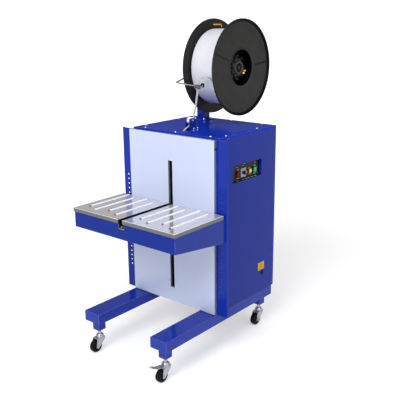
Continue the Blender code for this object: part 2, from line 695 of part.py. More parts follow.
def strap_run(strap):
    half = STRAP_WIDTH / 2
    thick = STRAP_THICKNESS / 2
    section = [(-half, -thick), (half, -thick), (half, thick), (-half, thick)]
    return swept("strap_run", strap_route(), section, strap, (0.0, STRAP_DROP_Y, COVER_TOP))


def inlet(paint, white):
    """Two cheeks behind the strap opening on a screwed base, and the white roller between them."""
    foot = COVER_TOP + GAP
    top = INLET_ROLLER_Z + 0.011
    half = 0.0125
    outer = half + 0.0015
    y = (INLET_ROLLER_Y - 0.024, INLET_ROLLER_Y + 0.0295)
    front = [(-outer, foot), (-outer, top), (-half, top), (-half, foot + 0.002),
             (half, foot + 0.002), (half, top), (outer, top), (outer, foot)]
    bracket = prism("inlet_bracket", front, "Y", y, paint, (0.0, INLET_ROLLER_Y, foot))
    side = [(y[0] - 0.001, foot - 0.001), (y[1] + 0.001, foot - 0.001), (y[1] + 0.001, top - 0.019),
            (y[1] - 0.017, top + 0.001), (y[0] - 0.001, top + 0.001)]
    combine(bracket, prism("side_outline", side, "X", (-0.02, 0.02), paint), "INTERSECT")
    feet = ((-0.029, 0.029), (INLET_ROLLER_Y - 0.0085, INLET_ROLLER_Y + 0.036), (foot, foot + 0.002))
    combine(bracket, boxes("feet", [feet], paint), "UNION")
    under = ((-half + 0.0005, half - 0.0005), (y[0] - 0.01, INLET_ROLLER_Y - 0.0085), (1.0, foot + 0.01))
    combine(bracket, boxes("under", [under], paint))
    pin = rod("pin", 0.0035, (-outer - 0.002, outer + 0.002), paint,
              (0.0, INLET_ROLLER_Y, INLET_ROLLER_Z), "X", 12)
    combine(bracket, pin, "UNION")
    run = half - 0.0005
    rim = INLET_ROLLER_RADIUS
    profile = [(-run, 0.0040), (-run, rim - 0.001), (-run + 0.001, rim), (run - 0.001, rim),
               (run, rim - 0.001), (run, 0.0040)]
    turned("inlet_roller", profile, white, (0.0, INLET_ROLLER_Y, INLET_ROLLER_Z), "X", 24)


def build_reel(paint, metal, plastic, strap, white):
    reel_post(paint)
    reel_spindle(metal)
    far_disc(plastic)
    near_disc(plastic)
    reel_core(plastic)
    strap_coil(strap)
    clamp_nut(plastic)
    guide_arm(metal)
    strap_run(strap)
    inlet(paint, white)


# ---- mechanism inside ---------------------------------------------------------------------------
def mechanism_frame(metal):
    """Shelf, upright head plate and, on top, the round guide that turns the strap down."""
    shelf = box("mechanism_frame", (-0.2745, 0.2745), (0.035, 0.455), (SHELF_Z, SHELF_Z + 0.003), metal)
    head = boxes("head", [(HEAD_PLATE_X, (0.035, 0.400), (SHELF_Z + 0.001, 1.085))], metal)
    combine(shelf, head, "UNION")
    radius = BEND_RADIUS - STRAP_THICKNESS / 2 - GAP
    centre = (0.0, STRAP_DROP_Y + BEND_RADIUS, BEND_Z)
    return combine(shelf, rod("bend", radius, (HEAD_PLATE_X[0] + 0.001, 0.012), metal, centre), "UNION")


def drive_motor(metal):
    """Gear motor: a square gear case against the head plate and a round motor beside it."""
    case_x = (HEAD_PLATE_X[1] + GAP, 0.080)
    low = SHELF_Z + 0.003 + GAP
    motor = box("drive_motor", case_x, (MOTOR_Y - 0.055, MOTOR_Y + 0.055), (low, low + 0.125), metal,
                bevel=0.004)
    profile = [(0.079, 0.0), (0.079, 0.050), (0.088, 0.050), (0.090, 0.055), (0.215, 0.055),
               (0.219, 0.051), (0.245, 0.049), (0.248, 0.044), (0.248, 0.0)]
    body = turned("body", profile, metal, (0.0, MOTOR_Y, MOTOR_Z), "X", 24)
    return combine(motor, body, "UNION")


def cam_shaft(metal):
    end = HEAD_PLATE_X[0] - GAP
    centre = (0.0, MOTOR_Y, MOTOR_Z)
    shaft = rod("cam_shaft", 0.010, (-0.190, end), metal, centre, "X", 16)
    for number in range(4):
        angle = math.radians(90 * number)
        place = (0.0, MOTOR_Y + 0.010 * math.cos(angle), MOTOR_Z + 0.010 * math.sin(angle))
        low = -0.175 + 0.034 * number
        combine(shaft, rod("cam", 0.034, (low, low + 0.012), metal, place, "X", 24), "UNION")
    return shaft


def stepped_roller(name, radius, y, surface):
    """A roller under the strap with a thinner shaft that reaches the head plate."""
    end = HEAD_PLATE_X[1] + GAP
    profile = [(end, 0.0), (end, 0.008), (-0.010, 0.008), (-0.010, radius), (0.010, radius),
               (0.010, 0.0)]
    return turned(name, profile, surface, (0.0, y, FEED_Z), "X", 24)


def strap_pool_box(metal):
    wall = 0.0015
    x = (-0.014, 0.014)
    y = (0.060, 0.440)
    z = (0.262, 0.600)
    pool = boxes("strap_pool_box", [(x, y, z)], metal)
    room = ((x[0] + wall, x[1] - wall), (y[0] + wall, y[1] - wall), (z[0] + wall, z[1] + 0.01))
    return combine(pool, boxes("room", [room], metal))


def electrical_box(plastic):
    wall = 0.002
    x = (0.100, 0.262)
    y = (0.075, 0.365)
    z = (0.300, 0.550)
    case = boxes("electrical_box", [(x, y, z)], plastic)
    room = ((x[0] + wall, x[1] - wall), (y[0] + wall, y[1] - wall), (z[0] + wall, z[1] - wall))
    combine(case, boxes("room", [room], plastic))
    return combine(case, rod("entry", 0.011, (-0.01, 0.01), plastic, (0.15, y[1], 0.33), "Y", 12))


def build_mechanism(metal, dark, cast, rubber, plastic):
    clear = STRAP_THICKNESS / 2 + GAP
    mechanism_frame(metal)
    drive_motor(cast)
    cam_shaft(metal)
    stepped_roller("feed_roller", FEED_RADIUS, STRAP_DROP_Y - clear - FEED_RADIUS, rubber)
    stepped_roller("pinch_roller", PINCH_RADIUS, STRAP_DROP_Y + clear + PINCH_RADIUS, metal)
    box("sealing_anvil", (-0.0125, 0.0125), (0.0045, 0.0195), (0.790, 0.880), dark, bevel=0.001)
    strap_pool_box(metal)
    electrical_box(plastic)


# ---- assembly -----------------------------------------------------------------------------------
def main():
    for old in list(bpy.data.objects):
        bpy.data.objects.remove(old)
    blue = material("blue_paint", (0.035, 0.055, 0.36), 0.0, 0.28)
    zinc = material("zinc", (0.62, 0.63, 0.65), 1.0, 0.35)
    steel = material("polished_steel", (0.72, 0.73, 0.76), 1.0, 0.18)
    front = material("front_steel", (0.80, 0.83, 0.92), 1.0, 0.35)
    plain = material("machined_steel", (0.45, 0.46, 0.48), 1.0, 0.4)
    dark = material("blackened_steel", (0.03, 0.03, 0.035), 0.8, 0.45)
    cast = material("cast_aluminium", (0.55, 0.56, 0.58), 0.9, 0.5)
    rubber = material("wheel_rubber", (0.02, 0.02, 0.02), 0.0, 0.6)
    black = material("black_plastic", (0.02, 0.02, 0.02), 0.0, 0.4)
    disc = material("disc_plastic", (0.045, 0.045, 0.042), 0.0, 0.45)
    white = material("white_nylon", (0.85, 0.86, 0.88), 0.0, 0.4)
    strap = material("strap_white", (0.82, 0.83, 0.88), 0.0, 0.35)
    colours = {
        "rocker": material("rocker_red", (0.65, 0.02, 0.02), 0.0, 0.3),
        "knob": material("knob_black", (0.015, 0.015, 0.015), 0.0, 0.35),
        "red": material("button_red", (0.75, 0.05, 0.03), 0.0, 0.3),
        "yellow": material("button_yellow", (0.85, 0.60, 0.03), 0.0, 0.3),
        "green": material("button_green", (0.01, 0.35, 0.12), 0.0, 0.3),
        "lock": material("lock_black", (0.03, 0.03, 0.04), 0.6, 0.4),
    }
    build_base(blue, zinc, rubber)
    build_cabinet(blue, front, black, plain)
    build_controls(blue, black, zinc, colours)
    table_frame(blue)
    table_plate(-1, "table_plate_left", steel)
    table_plate(1, "table_plate_right", steel)
    strap_channel(black)
    build_reel(blue, plain, disc, strap, white)
    build_mechanism(plain, dark, cast, rubber, white)
    for made in bpy.context.scene.objects:
        made.location.y -= MIDDLE_Y


main()
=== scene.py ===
"""Looks of the semi automatic strapping machine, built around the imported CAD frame."""

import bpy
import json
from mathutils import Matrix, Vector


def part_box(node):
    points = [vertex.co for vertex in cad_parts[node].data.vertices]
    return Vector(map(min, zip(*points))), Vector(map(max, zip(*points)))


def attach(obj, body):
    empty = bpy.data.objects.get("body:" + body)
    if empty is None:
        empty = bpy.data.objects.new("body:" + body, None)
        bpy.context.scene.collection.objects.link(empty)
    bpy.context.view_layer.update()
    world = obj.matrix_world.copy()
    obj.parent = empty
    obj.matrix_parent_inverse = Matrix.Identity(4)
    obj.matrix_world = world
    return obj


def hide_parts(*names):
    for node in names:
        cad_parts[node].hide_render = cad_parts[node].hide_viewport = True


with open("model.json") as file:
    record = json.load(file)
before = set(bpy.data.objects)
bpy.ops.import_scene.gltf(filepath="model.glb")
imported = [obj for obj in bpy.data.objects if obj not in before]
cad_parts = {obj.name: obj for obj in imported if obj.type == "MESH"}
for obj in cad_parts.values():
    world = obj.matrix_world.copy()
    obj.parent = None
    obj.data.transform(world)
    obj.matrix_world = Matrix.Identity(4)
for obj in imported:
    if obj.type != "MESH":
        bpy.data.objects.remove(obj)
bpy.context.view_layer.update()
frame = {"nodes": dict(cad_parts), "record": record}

import json
import math
import random

import bmesh
import bpy
from mathutils import Matrix, Vector, noise

random.seed(7)

# Sizes are in metres. Y counts from the uprights' front face, and SHIFT puts that face in its place.
SHIFT = Vector((0.0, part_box("upright_right")[0].y, 0.0))
BODY_OF = {node: body for body, nodes in frame["record"]["behaviour"]["bodies"].items() for node in nodes}
SLOT_OF = {part["node"]: part["material_slot"] for part in frame["record"]["subparts"]}


def span(node):
    """A node's lowest and highest corner, with Y counted from the uprights' front face."""
    low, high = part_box(node)
    return low - SHIFT, high - SHIFT


def middle_of(node, axis):
    low, high = span(node)
    return (low[axis] + high[axis]) / 2


SIDES = (("left", -1), ("right", 1))
ENDS = ("front", "rear")
COVER_TOP = span("top_cover")[1].z
PANEL_SIDE = span("side_panel_right")[1].x
TABLE_TOP = span("table_plate_right")[1].z
TABLE_FRONT = span("table_plate_right")[0].y
TABLE_BACK = span("table_plate_right")[1].y
REEL_Y = middle_of("far_disc", 1)
REEL_Z = middle_of("far_disc", 2)
REEL = (0.0, REEL_Y, REEL_Z)
DISC_RADIUS = span("far_disc")[1].z - REEL_Z
CONTROL_FACE = span("selector_plate")[0].x - 0.0003
CONTROL_Z = 0.899
HOLE_X = 0.308
HOLE_RADIUS = 0.0045
HOLE_PITCH = 0.025
HOLE_COUNT = 21
FIRST_HOLE_Z = 0.353


# ---- colours and materials ----------------------------------------------------------------------
def rgb(code):
    values = [int(code[i:i + 2], 16) / 255 for i in (0, 2, 4)]
    return tuple(v / 12.92 if v <= 0.04045 else ((v + 0.055) / 1.055) ** 2.4 for v in values)


def shade(colour, factor=1.0):
    return tuple(min(1.0, c * factor) for c in colour) + (1.0,)


class Surface:
    """A Principled material whose colour, roughness and relief all come from procedural nodes."""

    def __init__(self, name, colour, rough, metal, tint, tint_scale, spread, **sockets):
        self.material = bpy.data.materials.new(name)
        self.material.use_nodes = True
        self.tree = self.material.node_tree
        self.shader = self.tree.nodes["Principled BSDF"]
        self.shader.inputs["Metallic"].default_value = metal
        for socket, value in sockets.items():
            self.shader.inputs[socket.replace("_", " ")].default_value = value
        self.coords = self.new("ShaderNodeTexCoord").outputs["Object"]
        self.colour = shade(colour, 1 - tint)
        self.relief = None
        self.blot(self.ramp(self.noise(tint_scale, 3.0), 0.3, 0.7), shade(colour, 1 + tint)[:3])
        patches = self.noise(tint_scale * 3.1, 2.0)
        self.feed(self.shader, {"Roughness": self.ramp(patches, 0.3, 0.7, rough - spread, rough + spread)})

    def feed(self, node, inputs):
        """Sets a node's inputs to numbers or colours, or links them to other nodes' outputs."""
        for key, value in inputs.items():
            if isinstance(value, (tuple, float)):
                node.inputs[key].default_value = value
            else:
                self.tree.links.new(value, node.inputs[key])

    def new(self, kind, inputs=None, **settings):
        node = self.tree.nodes.new(kind)
        for key, value in settings.items():
            setattr(node, key, value)
        self.feed(node, inputs or {})
        return node

    def stretched(self, scale):
        return self.new("ShaderNodeMapping", {"Scale": scale, "Vector": self.coords}).outputs["Vector"]

    def noise(self, scale, detail, vector=None):
        inputs = {"Scale": scale, "Detail": detail, "Vector": self.coords if vector is None else vector}
        return self.new("ShaderNodeTexNoise", inputs).outputs["Fac"]

    def spangle(self, scale):
        return self.new("ShaderNodeTexVoronoi", {"Scale": scale, "Vector": self.coords}).outputs["Color"]

    def bands(self, scale, direction):
        return self.new("ShaderNodeTexWave", {"Scale": scale, "Vector": self.coords}, wave_type="BANDS",
                        bands_direction=direction).outputs["Fac"]

    def ramp(self, value, low, high, out_low=0.0, out_high=1.0):
        limits = {"From Min": low, "From Max": high, "To Min": out_low, "To Max": out_high}
        return self.new("ShaderNodeMapRange", {"Value": value, **limits}).outputs["Result"]

    def times(self, one, two):
        return self.new("ShaderNodeMath", {0: one, 1: two}, operation="MULTIPLY", use_clamp=True).outputs[0]

    def blot(self, factor, colour):
        """Lays a colour, or a node's colours, over the surface where the factor is one."""
        over = shade(colour) if isinstance(colour, tuple) else colour
        self.colour = self.new("ShaderNodeMix", {0: factor, 6: self.colour, 7: over},
                               data_type="RGBA").outputs[2]
        self.feed(self.shader, {"Base Color": self.colour})

    def bump(self, height, strength, distance):
        node = self.new("ShaderNodeBump", {"Strength": strength, "Distance": distance, "Height": height})
        if self.relief is not None:
            self.feed(node, {"Normal": self.relief})
        self.relief = node.outputs["Normal"]
        self.feed(self.shader, {"Normal": self.relief})

    def edges(self, colour, amount=0.5):
        """Lightens the rounded edges, broken up by noise: partly handled paint and plating wear, partly a
        painted highlight along the edges.
        """
        edge = self.new("ShaderNodeAttribute", attribute_name="wear_and_highlight").outputs["Fac"]
        broken = self.ramp(self.noise(60.0, 3.0), 0.35, 0.6, 0.35, 1.0)
        self.blot(self.times(self.times(edge, broken), amount), colour)

    def dust_and_sheen(self, colour, amount):
        """A patchy paler film on faces that look up: partly dust, partly a painted sheen."""
        normal = self.new("ShaderNodeNewGeometry").outputs["Normal"]
        height = self.new("ShaderNodeSeparateXYZ", {0: normal}).outputs[2]
        patchy = self.ramp(self.noise(9.0, 4.0), 0.35, 0.75)
        self.blot(self.times(self.times(self.ramp(height, 0.5, 1.0), patchy), amount), colour)


def paint(name, colour, rough=0.16, gloss=0.15, wear_and_highlight=0.6, film_and_sheen=0.03):
    """Blue gloss paint with paler edges, partly wear and partly painted highlight, a paler film on faces
    that look up, partly dust and partly painted sheen, and a faint orange peel.
    """
    made = Surface(name, colour, rough, 0.0, 0.03, 2.2, 0.03, Specular_IOR_Level=gloss)
    made.edges(rgb("7a8ae8"), wear_and_highlight)
    made.dust_and_sheen(rgb("5a68b8"), film_and_sheen)
    made.bump(made.noise(420.0, 2.0), 0.06, 0.0003)
    made.bump(made.noise(7.0, 2.0), 0.03, 0.003)
    return made.material


def brushed(name, colour, rough, lines, strength=0.10, tint=0.05, metal=1.0, spread=0.05, contrast=0.35):
    """Metal with a grain drawn out along the axis where lines is smallest."""
    made = Surface(name, colour, rough, metal, tint, 3.0, spread)
    grain = made.noise(1.0, 3.0, made.stretched(lines))
    made.blot(made.ramp(grain, 0.3, 0.7, 0.0, contrast), shade(colour, 0.80)[:3])
    made.bump(grain, strength, 0.0002)
    made.bump(made.noise(14.0, 2.0), 0.03, 0.003)
    return made.material


def plated(name, colour, rough):
    """Zinc or nickel plating with its small crystals."""
    made = Surface(name, colour, rough, 0.95, 0.07, 30.0, 0.07)
    made.blot(0.10, made.spangle(160.0))
    # Paler edges: plating wear and a painted highlight.
    made.edges(rgb("f4f6fa"))
    made.bump(made.noise(300.0, 3.0), 0.12, 0.0003)
    return made.material


def moulded(name, colour, rough=0.45, grain=650.0, strength=0.18, gloss=0.5):
    """Moulded plastic or rubber with a fine grain and paler edges, partly wear and partly painted highlight.
    """
    made = Surface(name, colour, rough, 0.0, 0.07, 7.0, 0.06, Specular_IOR_Level=gloss)
    made.edges(tuple(min(1.0, c * 1.6 + 0.02) for c in colour))
    made.bump(made.noise(grain, 2.0), strength, 0.0003)
    made.bump(made.noise(18.0, 2.0), 0.05, 0.002)
    return made.material


def strap_surface(name, direction, colour):
    """Embossed polypropylene band: a fine waffle pressed into a slightly translucent white."""
    made = Surface(name, colour, 0.40, 0.0, 0.03, 12.0, 0.06, Subsurface_Weight=0.08,
                   Subsurface_Scale=0.003)
    made.bump(made.bands(160.0, direction), 0.25, 0.0002)
    made.bump(made.noise(240.0, 2.0), 0.12, 0.0003)
    return made.material


BLUE = (0.007, 0.026, 0.300)
DULL = 0.10
ALONG_Y = (120.0, 9.0, 120.0)
MATERIALS = {
    "blue_paint": paint("paint_blue", BLUE),
    "zinc": plated("plated_zinc", (0.46, 0.47, 0.49), 0.28),
    "polished_steel": brushed("steel_polished", (0.74, 0.73, 0.75), 0.07, ALONG_Y, 0.02, 0.06, 0.62,
                              0.03, 0.25),
    "front_steel": brushed("steel_satin", (0.535, 0.595, 0.79), 0.36, (260.0, 260.0, 3.0), 0.012, 0.012,
                           0.12, contrast=0.06),
    "machined_steel": brushed("steel_machined", (0.24, 0.23, 0.21), 0.36, (300.0, 6.0, 300.0), 0.16),
    "blackened_steel": brushed("steel_blackened", (0.03, 0.03, 0.035), 0.42, (300.0, 300.0, 8.0), 0.15),
    "cast_aluminium": plated("aluminium_cast", (0.40, 0.41, 0.43), 0.5),
    "wheel_rubber": moulded("rubber_wheel", (0.003, 0.003, 0.0035), 0.42, 500.0, 0.25, 0.14),
    "black_plastic": moulded("plastic_black", (0.003, 0.003, 0.004), gloss=0.06),
    "disc_plastic": moulded("plastic_disc", (0.0130, 0.0130, 0.0116), 0.46, 900.0, gloss=0.26),
    "white_nylon": moulded("nylon_white", (0.86, 0.86, 0.88), 0.38, 400.0, 0.10),
    "strap_white": strap_surface("strap_band", "X", (0.67, 0.68, 0.735)),
    "rocker_red": moulded("plastic_rocker", (0.12, 0.004, 0.005), 0.30, 200.0, 0.04, DULL),
    "knob_black": moulded("plastic_knob", (0.003, 0.003, 0.003), 0.35, gloss=DULL),
    "button_red": moulded("plastic_red", (0.42, 0.035, 0.028), 0.30, 200.0, 0.04),
    "button_yellow": moulded("plastic_yellow", (0.82, 0.64, 0.08), 0.25, 200.0, 0.04, 0.2),
    "button_green": moulded("plastic_green", (0.004, 0.42, 0.20), 0.22, 200.0, 0.04, 0.2),
    "lock_black": moulded("lock_barrel", (0.0015, 0.0016, 0.0045), 0.34, 300.0, 0.10, DULL),
}
COVER_PAINT = paint("paint_blue_cover", (0.006, 0.031, 0.41), 0.11, 0.04, 0.5, 0.012)
FOOT_PAINT = paint("paint_blue_foot", BLUE, 0.14, 0.30)
PANEL_PAINT = paint("paint_blue_panel", (0.006, 0.022, 0.250), 0.16, 0.15, 0.2)
# The table frame's two tones are painted light and shade: a darker paint as painted shade on its front and
# other faces, a paler one as painted light on its two sides.
TABLE_PAINT_SHADED = paint("paint_blue_table_shaded", (0.0045, 0.021, 0.235), 0.16, 0.12)
TABLE_SIDE_PAINT_LIT = paint("paint_blue_side_lit", (0.012, 0.032, 0.270), 0.16, 0.20)
DARK_STEEL_AND_SHADE = brushed("steel_dark_and_painted_shade", (0.145, 0.147, 0.155), 0.35, (40.0, 40.0, 500.0), 0.06, 0.06, 0.3)
PLATE_RETURN_SHADE = brushed("steel_return_painted_shade", (0.19, 0.20, 0.24), 0.5, (40.0, 40.0, 500.0), 0.06, 0.06, 0.1)
BEND_HIGHLIGHT = brushed("steel_bend_painted_highlight", (0.92, 0.92, 0.96), 0.30, (40.0, 500.0, 40.0), 0.05, 0.02, 0.5)
WIRE_STEEL = brushed("steel_wire", (0.62, 0.59, 0.52), 0.24, (300.0, 300.0, 300.0), 0.08)
GREY_PLATE = brushed("plate_grey", (0.30, 0.33, 0.42), 0.34, (400.0, 400.0, 12.0), 0.05, 0.04, 0.4)
SCREW_STEEL = plated("screw_nickel", (0.80, 0.81, 0.84), 0.20)
RED_PLUG = moulded("plug_red", (0.30, 0.008, 0.014), 0.40, 300.0, 0.08, DULL)
LABEL_YELLOW = moulded("label_yellow", (0.78, 0.50, 0.016), 0.55, 300.0, 0.05, DULL)
LABEL_FIELD = moulded("label_field", (0.52, 0.27, 0.004), 0.55, 300.0, 0.05, DULL)
ORANGE = moulded("strip_orange", (0.85, 0.40, 0.05), 0.4, 300.0, 0.05)
CLIP_YELLOW = moulded("clip_yellow", (0.85, 0.62, 0.10), 0.25, 300.0, 0.05)
PALE_MARK_AND_GLINT = moulded("mark_pale_and_glint", (0.62, 0.62, 0.62), 0.5, 300.0, 0.05)
# Near black: painted shade in hollows, gaps, creases and the strap slot, and the colour of some black parts.
BLACK_AND_SHADE = moulded("plastic_black_and_painted_shade", (0.0015, 0.0015, 0.0015), 0.45, 400.0, 0.10, 0.06)
DARK_GAP = moulded("shadow_gap", (0.002, 0.002, 0.003), 0.7, 300.0, 0.05, DULL)
PANEL_BLACK = moulded("panel_black", (0.020, 0.020, 0.019), 0.5, 500.0, 0.12, 0.2)
SLEEVE_GREY = moulded("sleeve_grey", (0.075, 0.075, 0.085), 0.4, 500.0, 0.12)
FAR_DISC_SHADED = moulded("plastic_disc_far_shaded", (0.011, 0.011, 0.0115), 0.46, 900.0, 0.18, 0.2)
NUT_PLASTIC = moulded("plastic_nut", (0.030, 0.031, 0.033), 0.40, 700.0, 0.15, 0.3)
CREASE_SHADE = moulded("plastic_crease_shade", (0.0075, 0.0075, 0.007), 0.5, 700.0, 0.12, DULL)
LENS_EDGES = {"button_yellow": moulded("lens_edge_yellow", (0.16, 0.10, 0.008), 0.3, 200.0, 0.04, DULL),
              "button_green": moulded("lens_edge_green", (0.001, 0.055, 0.026), 0.3, 200.0, 0.04, DULL)}
STRAP_RUN_SHADED = strap_surface("strap_band_run_shaded", "Z", (0.40, 0.405, 0.46))


# ---- mesh tools ---------------------------------------------------------------------------------
def piece(name, bm, body, slot, material=None, replaces=(), angle=35.0, extra=()):
    """Turns a mesh into a finished piece that rides its body, in its slot's material if none is given."""
    bmesh.ops.translate(bm, verts=bm.verts, vec=SHIFT)
    bmesh.ops.recalc_face_normals(bm, faces=bm.faces)
    mesh = bpy.data.meshes.new(name)
    bm.to_mesh(mesh)
    bm.free()
    mesh.shade_smooth()
    mesh.set_sharp_from_angle(angle=math.radians(angle))
    for surface in (material or MATERIALS[slot], *extra):
        mesh.materials.append(surface)
    made = bpy.data.objects.new(name, mesh)
    bpy.context.scene.collection.objects.link(made)
    even = made.modifiers.new("even_normals", "WEIGHTED_NORMAL")
    even.keep_sharp = True
    even.weight = 80
    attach(made, body)
    if replaces:
        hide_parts(*replaces)


def round_off(bm, edges, width, segments):
    return bmesh.ops.bevel(bm, geom=edges, offset=width, segments=segments, profile=0.5, affect="EDGES",
                           clamp_overlap=True)


def bevel_sharp(bm, width, segments=2, angle=30.0):
    """Rounds the sharp edges and marks the new faces as the ones that wear and take a painted highlight."""
    layer = bm.faces.layers.float.get("wear_and_highlight") or bm.faces.layers.float.new("wear_and_highlight")
    sharp = [e for e in bm.edges if len(e.link_faces) == 2 and e.calc_face_angle(0.0) > math.radians(angle)]
    for face in round_off(bm, sharp, width, segments)["faces"]:
        face[layer] = 1.0


def copy_of(node):
    """A node's own solid, with its flat faces joined up again."""
    bm = bmesh.new()
    bm.from_mesh(frame["nodes"][node].data)
    bmesh.ops.remove_doubles(bm, verts=bm.verts, dist=1e-6)
    bmesh.ops.dissolve_limit(bm, angle_limit=math.radians(0.5), verts=bm.verts, edges=bm.edges)
    bmesh.ops.translate(bm, verts=bm.verts, vec=-SHIFT)
    return bm


def refine(node, width=0.0006, segments=2, material=None, colour_faces=None, extra=()):
    """The node's solid with its edges rounded, in its finished material."""
    bm = copy_of(node)
    bevel_sharp(bm, width, segments)
    if colour_faces:
        bm.normal_update()
        for face in bm.faces:
            face.material_index = int(colour_faces(face))
    piece(f"{node}_skin", bm, BODY_OF[node], SLOT_OF[node], material, (node,), extra=extra)


def add_box(bm, x, y, z, bevel=0.0, segments=2):
    centre = Vector((sum(x) / 2, sum(y) / 2, sum(z) / 2))
    size = (abs(x[1] - x[0]), abs(y[1] - y[0]), abs(z[1] - z[0]), 1.0)
    place = Matrix.Translation(centre) @ Matrix.Diagonal(size)
    verts = bmesh.ops.create_cube(bm, size=1.0, matrix=place)["verts"]
    if bevel:
        round_off(bm, list({e for v in verts for e in v.link_edges}), bevel, segments)


def both_ways(value, half):
    return value - half, value + half


AXES = {"X": Matrix.Identity(3), "Y": Matrix.Rotation(math.pi / 2, 3, "Z"),
        "Z": Matrix.Rotation(-math.pi / 2, 3, "Y")}


def lathe(bm, profile, centre, steps=64, axis="X", shape=None, closed=True):
    """A profile of (along, radius) points turned about an axis; shape may move each point."""
    rings = []
    for along, radius in profile:
        ring = []
        for step in range(1 if radius == 0.0 else steps):
            angle = 2 * math.pi * step / steps
            a, r = shape(along, radius, angle) if shape else (along, radius)
            local = Vector((a, r * math.cos(angle), r * math.sin(angle)))
            ring.append(bm.verts.new(AXES[axis] @ local + Vector(centre)))
        rings.append(ring)
    pairs = list(zip(rings, rings[1:]))
    if closed and len(rings[0]) > 1 and len(rings[-1]) > 1:
        pairs.append((rings[-1], rings[0]))
    for ring, other in pairs:
        for step in range(steps):
            after = (step + 1) % steps
            corners = [ring[step % len(ring)], ring[after % len(ring)], other[after % len(other)],
                       other[step % len(other)]]
            unique = list(dict.fromkeys(corners))
            if len(unique) > 2:
                bm.faces.new(unique)


def rod(bm, low, high, radius, centre, steps, axis="X"):
    lathe(bm, [(low, 0.0), (low, radius), (high, radius), (high, 0.0)], centre, steps, axis)


def turned(name, profile, centre, steps, body, slot, material=None, replaces=(), angle=35.0, shape=None):
    """A piece made by turning one profile about X."""
    bm = bmesh.new()
    lathe(bm, profile, centre, steps, shape=shape)
    piece(name, bm, body, slot, material, replaces, angle)


def rounded(profile, radius, steps=3):
    """Rounds the inner corners of an open profile."""
    result = [profile[0]]
    for before, corner, after in zip(profile, profile[1:], profile[2:]):
        a, b, c = Vector(before), Vector(corner), Vector(after)
        reach = min(radius, (a - b).length * 0.45, (c - b).length * 0.45)
        start = b + (a - b).normalized() * reach
        end = b + (c - b).normalized() * reach
        result += [tuple(point) for point in curve(start, b, end, steps)]
    result.append(profile[-1])
    return result


def curve(start, corner, end, steps):
    """Points of the quadratic curve from start to end that corner pulls on."""
    return [start * (1 - t) ** 2 + corner * 2 * t * (1 - t) + end * t ** 2
            for t in [k / steps for k in range(steps + 1)]]


def circle(radius, count, centre=(0.0, 0.0)):
    turns = [2 * math.pi * k / count for k in range(count)]
    return [(centre[0] + radius * math.cos(a), centre[1] + radius * math.sin(a)) for a in turns]


def prism(bm, outline, axis, low, high):
    """A flat outline drawn out along an axis; its points count along the other two."""
    place = {"X": lambda a, b, c: (c, a, b), "Y": lambda a, b, c: (a, c, b),
             "Z": lambda a, b, c: (a, b, c)}[axis]
    face = bm.faces.new([bm.verts.new(place(a, b, low)) for a, b in outline])
    moved = bmesh.ops.extrude_face_region(bm, geom=[face])["geom"]
    verts = [v for v in moved if isinstance(v, bmesh.types.BMVert)]
    bmesh.ops.translate(bm, verts=verts, vec=Vector(place(0.0, 0.0, high - low)))


def directions(points):
    """The direction of a path at each of its points."""
    last = len(points) - 1
    return [(points[min(k + 1, last)] - points[max(k - 1, 0)]).normalized() for k in range(last + 1)]


def join_rings(bm, rings, capped=True):
    for ring, other in zip(rings, rings[1:]):
        for k in range(len(ring)):
            after = (k + 1) % len(ring)
            bm.faces.new((ring[k], ring[after], other[after], other[k]))
    if capped:
        bm.faces.new(rings[0])
        bm.faces.new(rings[-1])


def tube(bm, path, radius, sides=14, capped=True):
    """A round wire along a path, with a frame carried smoothly from point to point."""
    points = [Vector(p) for p in path]
    normal = directions(points)[0].orthogonal().normalized()
    rings = []
    for point, along in zip(points, directions(points)):
        normal = (normal - along * normal.dot(along)).normalized()
        side = along.cross(normal)
        rings.append([bm.verts.new(point + normal * a + side * b) for a, b in circle(radius, sides)])
    join_rings(bm, rings, capped)


def soften(path, steps):
    """A Catmull-Rom curve through the points of a path."""
    points = [Vector(p) for p in path]
    ends = [points[0] * 2 - points[1]] + points + [points[-1] * 2 - points[-2]]
    result = []
    for a, b, c, d in zip(ends, ends[1:], ends[2:], ends[3:]):
        for t in [k / steps for k in range(steps)]:
            result.append(0.5 * ((2 * b) + (c - a) * t + (2 * a - 5 * b + 4 * c - d) * t * t
                                 + (3 * b - a - 3 * c + d) * t ** 3))
    result.append(points[-1])
    return result


def mesh_of(bm):
    mesh = bpy.data.meshes.new("scratch")
    bm.to_mesh(mesh)
    bm.free()
    return mesh


def carve(bm, tool):
    """Cuts one mesh from another with an exact boolean and gives the result as a new bmesh."""
    solids = []
    for name, part in (("carve_target", bm), ("carve_tool", tool)):
        bmesh.ops.recalc_face_normals(part, faces=part.faces)
        solids.append(bpy.data.objects.new(name, mesh_of(part)))
        bpy.context.scene.collection.objects.link(solids[-1])
    cut = solids[0].modifiers.new("cut", "BOOLEAN")
    cut.operation = "DIFFERENCE"
    cut.solver = "EXACT"
    cut.object = solids[1]
    bpy.context.view_layer.update()
    graph = bpy.context.evaluated_depsgraph_get()
    result = bmesh.new()
    result.from_mesh(bpy.data.meshes.new_from_object(solids[0].evaluated_get(graph)))
    for solid in solids:
        bpy.data.objects.remove(solid)
    return result


def stamp(bm, template, matrix):
    """Adds a copy of a template mesh under a matrix."""
    before = len(bm.verts)
    bm.from_mesh(template)
    bm.verts.ensure_lookup_table()
    bmesh.ops.transform(bm, matrix=matrix, verts=bm.verts[before:])


def facing(axis, place):
    """A matrix that turns a template standing on +X to look along another axis."""
    turn = {"+X": (0, "Z"), "-X": (180, "Z"), "+Y": (90, "Z"), "-Y": (-90, "Z"), "+Z": (-90, "Y")}[axis]
    return Matrix.Translation(Vector(place)) @ Matrix.Rotation(math.radians(turn[0]), 4, turn[1])


